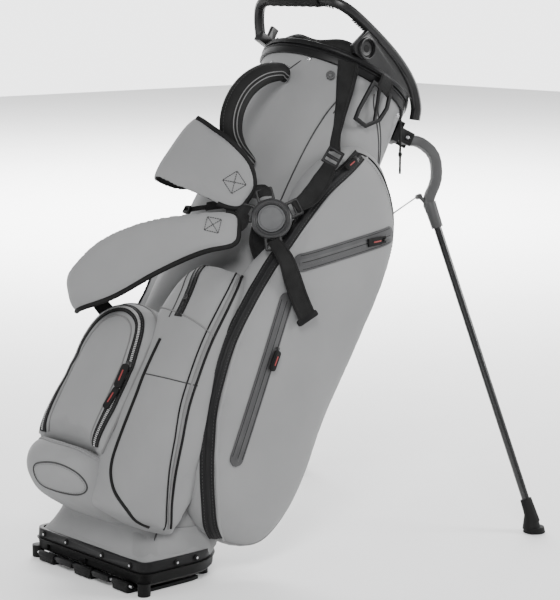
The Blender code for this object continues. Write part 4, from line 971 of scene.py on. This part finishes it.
def shoulder_pad(name, columns, thick, node, outward, bound):
    """A padded strap from (lower, upper) corner pairs, its hub end last.

    Its back is black mesh, its face is grey, and a tape binds the stated part of its rim. bound gives
    where the tape starts on the upper edge and where it ends on the lower edge, as shares from the far end.
    """
    low = curve([c[0] for c in columns], 0.002)
    high = curve([c[1] for c in columns], 0.002)
    rows, across = 84, 24

    def grid(inset, drop, face):
        place, crown = np.empty((rows + 1, across + 1, 3)), np.empty((rows + 1, across + 1))
        for r in range(rows + 1):
            u = inset * 0.5 + (1 - inset) * r / rows
            a, b = low[int(round(u * (len(low) - 1)))], high[int(round(u * (len(high) - 1)))]
            end = min(1.0, (1 - u) / 0.09)
            start = min(1.0, u / 0.03)
            narrow = 0.72 + 0.28 * math.sqrt(max(1 - (1 - end) ** 2, 0))
            for k in range(across + 1):
                v = 0.5 + (k / across - 0.5) * (1 - inset) * narrow
                place[r, k] = a * (1 - v) + b * v
                crown[r, k] = (1 - abs(2 * k / across - 1) ** 3.5) * (1 - (1 - min(end, start)) ** 3)
        place = smoothed(place, 3)
        normal = np.cross(np.gradient(place, axis=0), np.gradient(place, axis=1))
        normal /= np.maximum(np.linalg.norm(normal, axis=2, keepdims=True), 1e-9)
        if (normal[rows * 2 // 3:] * np.array(outward)).sum() < 0:
            normal = -normal
        return place + normal * (drop + face * crown)[..., None]

    def closed(tag, inset, foot, rise, look):
        top, bottom = grid(inset, foot + 0.0022, rise), grid(inset, foot, 0.0)
        n, m = rows + 1, across + 1
        verts = [B(p) for p in top.reshape(-1, 3)] + [B(p) for p in bottom.reshape(-1, 3)]
        faces = []
        for r in range(rows):
            for k in range(across):
                a, b, c, d = r * m + k, r * m + k + 1, (r + 1) * m + k + 1, (r + 1) * m + k
                faces.append((a, b, c, d))
                faces.append((n * m + a, n * m + d, n * m + c, n * m + b))
        rim = [k for k in range(m)] + [r * m + m - 1 for r in range(1, n)] + \
              [(n - 1) * m + k for k in range(m - 2, -1, -1)] + [r * m for r in range(n - 2, 0, -1)]
        for i, j in zip(rim, rim[1:] + rim[:1]):
            faces.append((i, n * m + i, n * m + j, j))
        return add(name + tag, verts, faces, look, sharp=0)

    back = closed("_back", 0.05, -thick * 0.45, -thick * 0.25, PAD)
    face = closed("_face", 0.0, -thick * 0.25, thick * 0.6, GREY)
    inflate([(face, 0.0024, 1.5, 0.002)])
    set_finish(face, "grey_fabric")
    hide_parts(node)
    rim = grid(0.004, -thick * 0.08, 0.0)
    last = across
    path = [rim[r][last] for r in range(int(rows * bound[0]), rows + 1)] + \
           [rim[rows][k] for k in range(last - 1, -1, -1)] + \
           [rim[r][0] for r in range(rows - 1, int(rows * bound[1]), -1)]
    loop = smoothed(curve([B(p) for p in path[::2] + path[-1:]], 0.003), 6)
    sweep(name + "_binding", loop, BD(outward), [(a, b * 0.85) for a, b in circle(0.004, 0.0, 12)], BINDING)
    return face


def stitch_box(name, centre, normal, up, width, height, skin_of):
    """A sewn box with its two diagonals, laid on a pad."""
    z = Vector(normal).normalized()
    x = Vector(up).cross(z).normalized()
    y = z.cross(x)
    tree = tree_of(skin_of)
    w, h = width / 2, height / 2
    corners = [(-w, -h), (w, -h), (w, h), (-w, h), (-w, -h), (w, h), (w, -h), (-w, h)]
    for number, (a, b) in enumerate(zip(corners, corners[1:])):
        if number == 5:
            continue
        line, out = [], BD(normal)
        for k in range(13):
            t = k / 12
            point = Vector(centre) + x * (a[0] * (1 - t) + b[0] * t) + y * (a[1] * (1 - t) + b[1] * t)
            place, _, _, _ = tree.ray_cast(B(point) + out * 0.06, -out)
            if place is not None:
                line.append(np.array(tuple(place + out * 0.0003)))
        if len(line) > 4:
            normals = np.tile(np.array(tuple(out)), (len(line), 1))
            scatter(f"{name}_{number}", np.array(line), normals, 0.0034, (0.0011, 0.0026, 0.0009), THREAD)


upper_columns = [((-0.135, 0.007, 0.538), (-0.135, 0.008, 0.605)), ((-0.178, 0.014, 0.517),
    (-0.17, 0.01, 0.603)), ((-0.216, 0.016, 0.511), (-0.201, 0.004, 0.61)), ((-0.229, 0.0, 0.514),
    (-0.216, -0.011, 0.616)), ((-0.217, -0.026, 0.51), (-0.204, -0.039, 0.608)), ((-0.195, -0.059, 0.508),
    (-0.185, -0.07, 0.597)), ((-0.171, -0.09, 0.506), (-0.162, -0.097, 0.578)), ((-0.153, -0.109, 0.508),
    (-0.146, -0.113, 0.55))]
upper_face = shoulder_pad("upper_pad", upper_columns, 0.011, "upper_shoulder_pad", (-0.74, -0.66, 0.1),
    (0.4, 0.86))
stitch_box("upper_pad_box", (-0.168, -0.093, 0.541), (-0.74, -0.66, 0.1), (0.45, -0.35, 0.8), 0.024, 0.024,
    upper_face)
lower_columns = [((-0.194, 0.08, 0.304), (-0.214, 0.1, 0.346)), ((-0.22, 0.049, 0.302), (-0.244, 0.074, 0.349)),
    ((-0.211, -0.004, 0.334), (-0.248, 0.036, 0.398)), ((-0.195, -0.053, 0.387), (-0.232, -0.015, 0.441)),
    ((-0.168, -0.094, 0.436), (-0.197, -0.065, 0.478)), ((-0.14, -0.121, 0.461), (-0.153, -0.109, 0.508))]
lower_face = shoulder_pad("lower_pad", lower_columns, 0.011, "lower_shoulder_pad", (-0.74, -0.66, 0.12),
    (0.95, 0.06))
stitch_box("lower_pad_box", (-0.168, -0.089, 0.472), (-0.74, -0.66, 0.12), (-0.15, 0.1, 1), 0.02, 0.02,
    lower_face)

# carry handle: a padded band with two bright welts, sewn down at both ends
carry_points = mm((-113, -30, 744), (-130, -32, 740), (-157, -34, 719), (-177, -36, 687), (-185, -42, 650),
    (-175, -44, 620), (-153, -45, 603), (-116, -42, 595))
carry = curve([B(p) for p in carry_points], 0.004)
carry_out = BD((-0.62, -0.78, 0.0))
turn = np.tile(np.array(tuple(carry_out)), (len(carry), 1))
width = 0.03 - 0.008 * np.abs(np.linspace(-1, 1, len(carry))) ** 3
handle_section = [(a, b - 0.004) for a, b in flat(0.03, 0.006, 0.0052, 10)]
carry_obj = sweep("carry_handle_look", carry, turn, handle_section, PAD, scale=width / 0.03, sharp=0)
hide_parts("carry_handle")
along = tangents(carry)
across = unit(np.cross(along, turn))
lifted = np.cross(across, along)
for side, tag in ((-0.003, "a"), (-0.008, "b")):
    rise = 0.002 + 0.0052 * (1 - (side / 0.015) ** 2)
    sweep("carry_welt_" + tag, carry + across * side + lifted * (rise + 0.0003), turn, circle(0.0008, 0.0, 8),
        THREAD_GREY)
stitched("carry_stitch", carry + across * 0.0115 + lifted * 0.0036, turn, lift=0.0006, look=THREAD)


def strap(name, points, width, normal, scale=None, node=None):
    """A webbing through points, with a raised rib along each edge; scale lists its shares of the width."""
    thick = 0.0018
    path = curve([B(p) for p in points], 0.003)
    normals = np.tile(np.array(tuple(BD(normal))), (len(path), 1))
    sizes = None if scale is None else np.interp(np.linspace(0, 1, len(path)), np.linspace(0, 1, len(scale)),
        scale)
    obj = sweep(name, path, normals, flat(width, thick, 0.0003, 8), WEB, scale=sizes)
    for side, tag in ((-0.4, "a"), (0.4, "b")):
        offset = unit(np.cross(tangents(path), normals)) * side * width
        if sizes is not None:
            offset = offset * sizes[:, None]
        sweep(f"{name}_rib_{tag}", path + offset, normals, circle(0.0006, thick), WEB)
    if node:
        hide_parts(node)
    return obj


strap_out = (-0.62, -0.78, 0)
strap("upper_web", mm((-80, -108, 786), (-83, -124, 750), (-85, -143, 699), (-82, -154, 660), (-79, -159, 645)),
    0.029, strap_out, scale=[1.0, 0.86, 0.56, 0.4, 0.55], node="upper_webbing")
strap("upper_web_layer", mm((-70, -112, 784), (-74.5, -128, 742), (-79, -144, 696), (-80, -153, 662)), 0.016,
    (-0.4, -0.9, 0), scale=[1.0, 0.9, 0.6, 0.5])
strap("hub_web", [(-0.078, -0.16, 0.627), (-0.084, -0.164, 0.596), (-0.0925, -0.164, 0.566),
    from_hub(48, 0.036, 0, 0.007)], 0.026, strap_out, scale=[0.66, 1.0, 1.0, 0.66], node="strap_to_hub")
strap("bottom_web", [from_hub(-62, 0.031, 0, 0.007), (-0.0975, -0.1745, 0.469), (-0.0757, -0.1775, 0.4513),
    (-0.0501, -0.18, 0.4312), (-0.0231, -0.181, 0.4144)], 0.027, (-0.35, -0.93, 0), scale=[0.7, 0.85, 1.0, 1.0,
    1.0], node="bottom_webbing")
slab("strap_end_bar", rounded(0.034, 0.009, 0.003), -0.003, 0.003, B((-0.0215, -0.1813, 0.4132)),
    BD((-0.35, -0.93, 0)), BD((0.8, -0.1, -0.5)), BLACK, bevel=0.0012)
strap("hub_anchor", mm((-110, -128, 500), (-101, -122, 486), (-90, -123, 470), (-78, -126, 456)), 0.042,
    (-0.75, -0.66, 0), scale=[1.0, 0.95, 0.75, 0.45])
strap("upper_pad_web", [(-0.149, -0.094, 0.546), (-0.146, -0.112, 0.542), from_hub(128, 0.04, 0, 0.007),
    from_hub(128, 0.033, 0, 0.007)], 0.019, (-0.75, -0.66, 0))
strap("lower_pad_web", [(-0.147, -0.104, 0.486), (-0.146, -0.114, 0.492), from_hub(188, 0.04, 0, 0.007),
    from_hub(188, 0.033, 0, 0.007)], 0.019, (-0.75, -0.66, 0))
strap("lower_pad_return", mm((-216, 40, 364), (-190, 82, 352), (-150, 112, 342), (-105, 126, 334),
    (-70, 123, 328)), 0.024, (-0.6, 0.8, 0.1))
strap("side_tab", mm((-125.8, -46.7, 526.8), (-130.6, -30.6, 521.1), (-132.6, -11.7, 515)), 0.013,
    (-0.96, -0.28, 0))
strap("side_tab_end", mm((-132.6, -11.7, 514), (-133.4, 8.9, 509.3), (-134.5, 27, 503.6)), 0.007,
    (-0.98, -0.1, 0))
slab("side_tab_buckle", rounded(0.016, 0.013, 0.003), 0.0, 0.005, B((-0.134, 0.022, 0.505)),
    BD((-0.98, 0.1, 0)), BD((0, 0, 1)), BLACK, bevel=0.0012, holes=[rounded(0.009, 0.005, 0.0015)[::-1]])
strap("ring_web", mm((-12, -122.6, 799), (-12.7, -125.8, 790), (-14, -126.6, 782), (-15.2, -126.2, 777)), 0.028,
    (0, -1, 0), node="ring_webbing")

# lace that hangs from the collar
LACE_TOP, LACE_LONG = Vector((0.0455, -0.1135, 0.7775)), 0.095
down = BAG.inverted().to_3x3() @ Vector((0, 0, -1))
lace_path = [B(LACE_TOP + down * LACE_LONG * k / 32) for k in range(33)]
lace = sweep("hanging_lace_look", [tuple(p) for p in lace_path], BD((0, -1, 0)), circle(0.0018, 0.0, 10), WEB)
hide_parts("hanging_lace")
knot = lathe("lace_knot", mm((1.2, -4), (2.7, -2.8), (3.2, 0), (2.8, 2.6), (1.2, 4)),
    B(LACE_TOP + down * 0.066), Vector((0, 0, 1)), WEB, steps=20, up=(0, 1, 0))

# ---------------------------------------------------------------- welded zips, sliders and pullers


def welded(name, a, b, width, node, skin="apparel"):
    path, normals = lay([a, tuple((np.array(a) + np.array(b)) / 2), b], skin, lift=-0.0002)
    grow = np.array([min(1.0, math.sqrt(max(1 - (1 - min(k, len(path) - 1 - k) * 0.004 / (width / 2)) ** 2,
        0.0)) if min(k, len(path) - 1 - k) * 0.004 < width / 2 else 1.0) for k in range(len(path))])
    band = sweep(name + "_band", path, normals, flat(width, 0.0019, 0.0004, 10), WELDED, scale=np.maximum(grow,
        0.2))
    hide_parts(node)
    sweep(name + "_middle", path[2:-2], normals[2:-2], flat(width * 0.34, 0.0024, 0.0005), WELDED)
    for side, tag in ((-1, "a"), (1, "b")):
        offset = unit(np.cross(tangents(path), normals)) * side * width * 0.4
        sweep(f"{name}_rim_{tag}", (path + offset)[3:-3], normals[3:-3], circle(0.0005, 0.002), TAPE)
    sweep(name + "_slit", path[3:-3], normals[3:-3], circle(0.0006, 0.0026), DEEP)


welded("inclined_weld", (-0.07, -0.163, 0.471), (0.086, -0.162, 0.598), 0.025, "inclined_zip")
welded("lower_weld", (-0.062, -0.165, 0.432), (-0.026, -0.164, 0.182), 0.023, "lower_zip")


def pull_tab(name, place, direction, normal, body="bag", length=0.026, width=0.011):
    """A moulded zip puller: a rounded tab with a raised rim and a plain inlaid bar."""
    direction, normal = Vector(direction).normalized(), Vector(normal).normalized()
    centre = Vector(place) + direction * (length / 2)
    slab(name, rounded(width, length, width * 0.42, 6), 0.0, 0.0042, B(centre), BD(normal), BD(-direction),
        RUBBER, body, bevel=0.0012)
    slab(name + "_rim", rounded(width * 0.72, length * 0.8, width * 0.3, 6), 0.0042, 0.005, B(centre),
        BD(normal), BD(-direction), RUBBER, body, bevel=0.0003)
    slab(name + "_bar", rounded(width * 0.16, length * 0.46, width * 0.07, 3), 0.0048, 0.0054, B(centre),
        BD(normal), BD(-direction), ACCENT, body, bevel=0.0002)


def zip_head(name, place, direction, normal, size=0.009):
    """A slider: a tapered body with a bridge over it."""
    direction, normal = Vector(direction).normalized(), Vector(normal).normalized()
    outline = [(-size * 0.42, -size * 0.6), (size * 0.42, -size * 0.6), (size * 0.55, size * 0.1), (size * 0.4,
        size * 0.7), (-size * 0.4, size * 0.7), (-size * 0.55, size * 0.1)]
    slab(name, outline, 0.0, 0.0028, B(place), BD(normal), BD(direction), TEETH_DARK, bevel=0.0006)
    slab(name + "_bridge", rounded(size * 0.34, size * 0.95, size * 0.15), 0.0026, 0.005,
        B(Vector(place) + direction * size * 0.05), BD(normal), BD(direction), TEETH_DARK, bevel=0.0006)


def on_skin(point, skin, lift=0.0):
    place, normal, _, _ = SKINS[skin].find_nearest(B(point))
    back = BAG.inverted()
    return back @ (place + normal * lift), back.to_3x3() @ normal


spot, normal = on_skin((-0.037, -0.158, 0.652), "apparel", 0.002)
zip_head("long_zip_head", spot, (0.35, 0, 0.9), normal)
pull_tab("long_zip_pull", spot + normal * 0.003, (-0.5, -0.05, -0.86), normal)
spot, normal = on_skin((-0.174, -0.051, 0.25), "ball", 0.002)
zip_head("ball_zip_head_a", spot, (0, 0.05, 1), normal)
pull_tab("ball_zip_pull_a", spot + normal * 0.003, (-0.15, -0.12, -1), normal, length=0.036, width=0.012)
spot, normal = on_skin((-0.174, -0.052, 0.236), "ball", 0.002)
zip_head("ball_zip_head_b", spot, (0, -0.05, -1), normal)
pull_tab("ball_zip_pull_b", spot + normal * 0.0022 + Vector((0, 0, -0.02)), (-0.1, 0.1, -1), normal,
    length=0.034, width=0.01)
spot, normal = on_skin((-0.154, -0.087, 0.366), "corner", 0.002)
zip_head("corner_zip_head", spot, (0.3, 0.3, 0.8), normal, size=0.007)
pull_tab("lower_weld_pull", (-0.0424, -0.1735, 0.3525), (0.1, -0.06, -1), (0, -1, 0), "lower_slider",
    length=0.03)
slab("inclined_pull_bar", rounded(0.0022, 0.015, 0.001, 3), 0.0, 0.0006, B((0.05, -0.1752, 0.568)),
    BD((0, -1, 0)), BD((0.815, 0, 0.579)), ACCENT, "inclined_pull", bevel=0.0002)

# ---------------------------------------------------------------- floor and last line

floor_mesh = bpy.data.meshes.new("floor")
floor_mesh.from_pydata([(-9, -9, -0.0006), (9, -9, -0.0006), (9, 9, -0.0006), (-9, 9, -0.0006)], [],
    [(0, 1, 2, 3)])
floor_mesh.materials.append(FLOOR)
floor = bpy.data.objects.new("floor", floor_mesh)
SCENE.collection.objects.link(floor)

slots = {"grey_fabric": (GREY, GREY_EDGE), "black_plastic": (BLACK, DEEP, ARM, HUB_GREY, GLOSS),
    "black_webbing": (WEB, BINDING), "black_padding": (PAD,), "lining": (LINING,), "dark_tube": (TUBE,),
    "black_rubber": (RUBBER, HUB_DISC), "steel": (STEEL,), "zip_tape": (TAPE, WELDED)}
for obj in SCENE.objects:
    if obj.type == "MESH" and obj.get("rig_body") and obj.data.materials and not obj.get("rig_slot"):
        for slot_name, looks in slots.items():
            if obj.data.materials[0] in looks:
                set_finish(obj, slot_name)
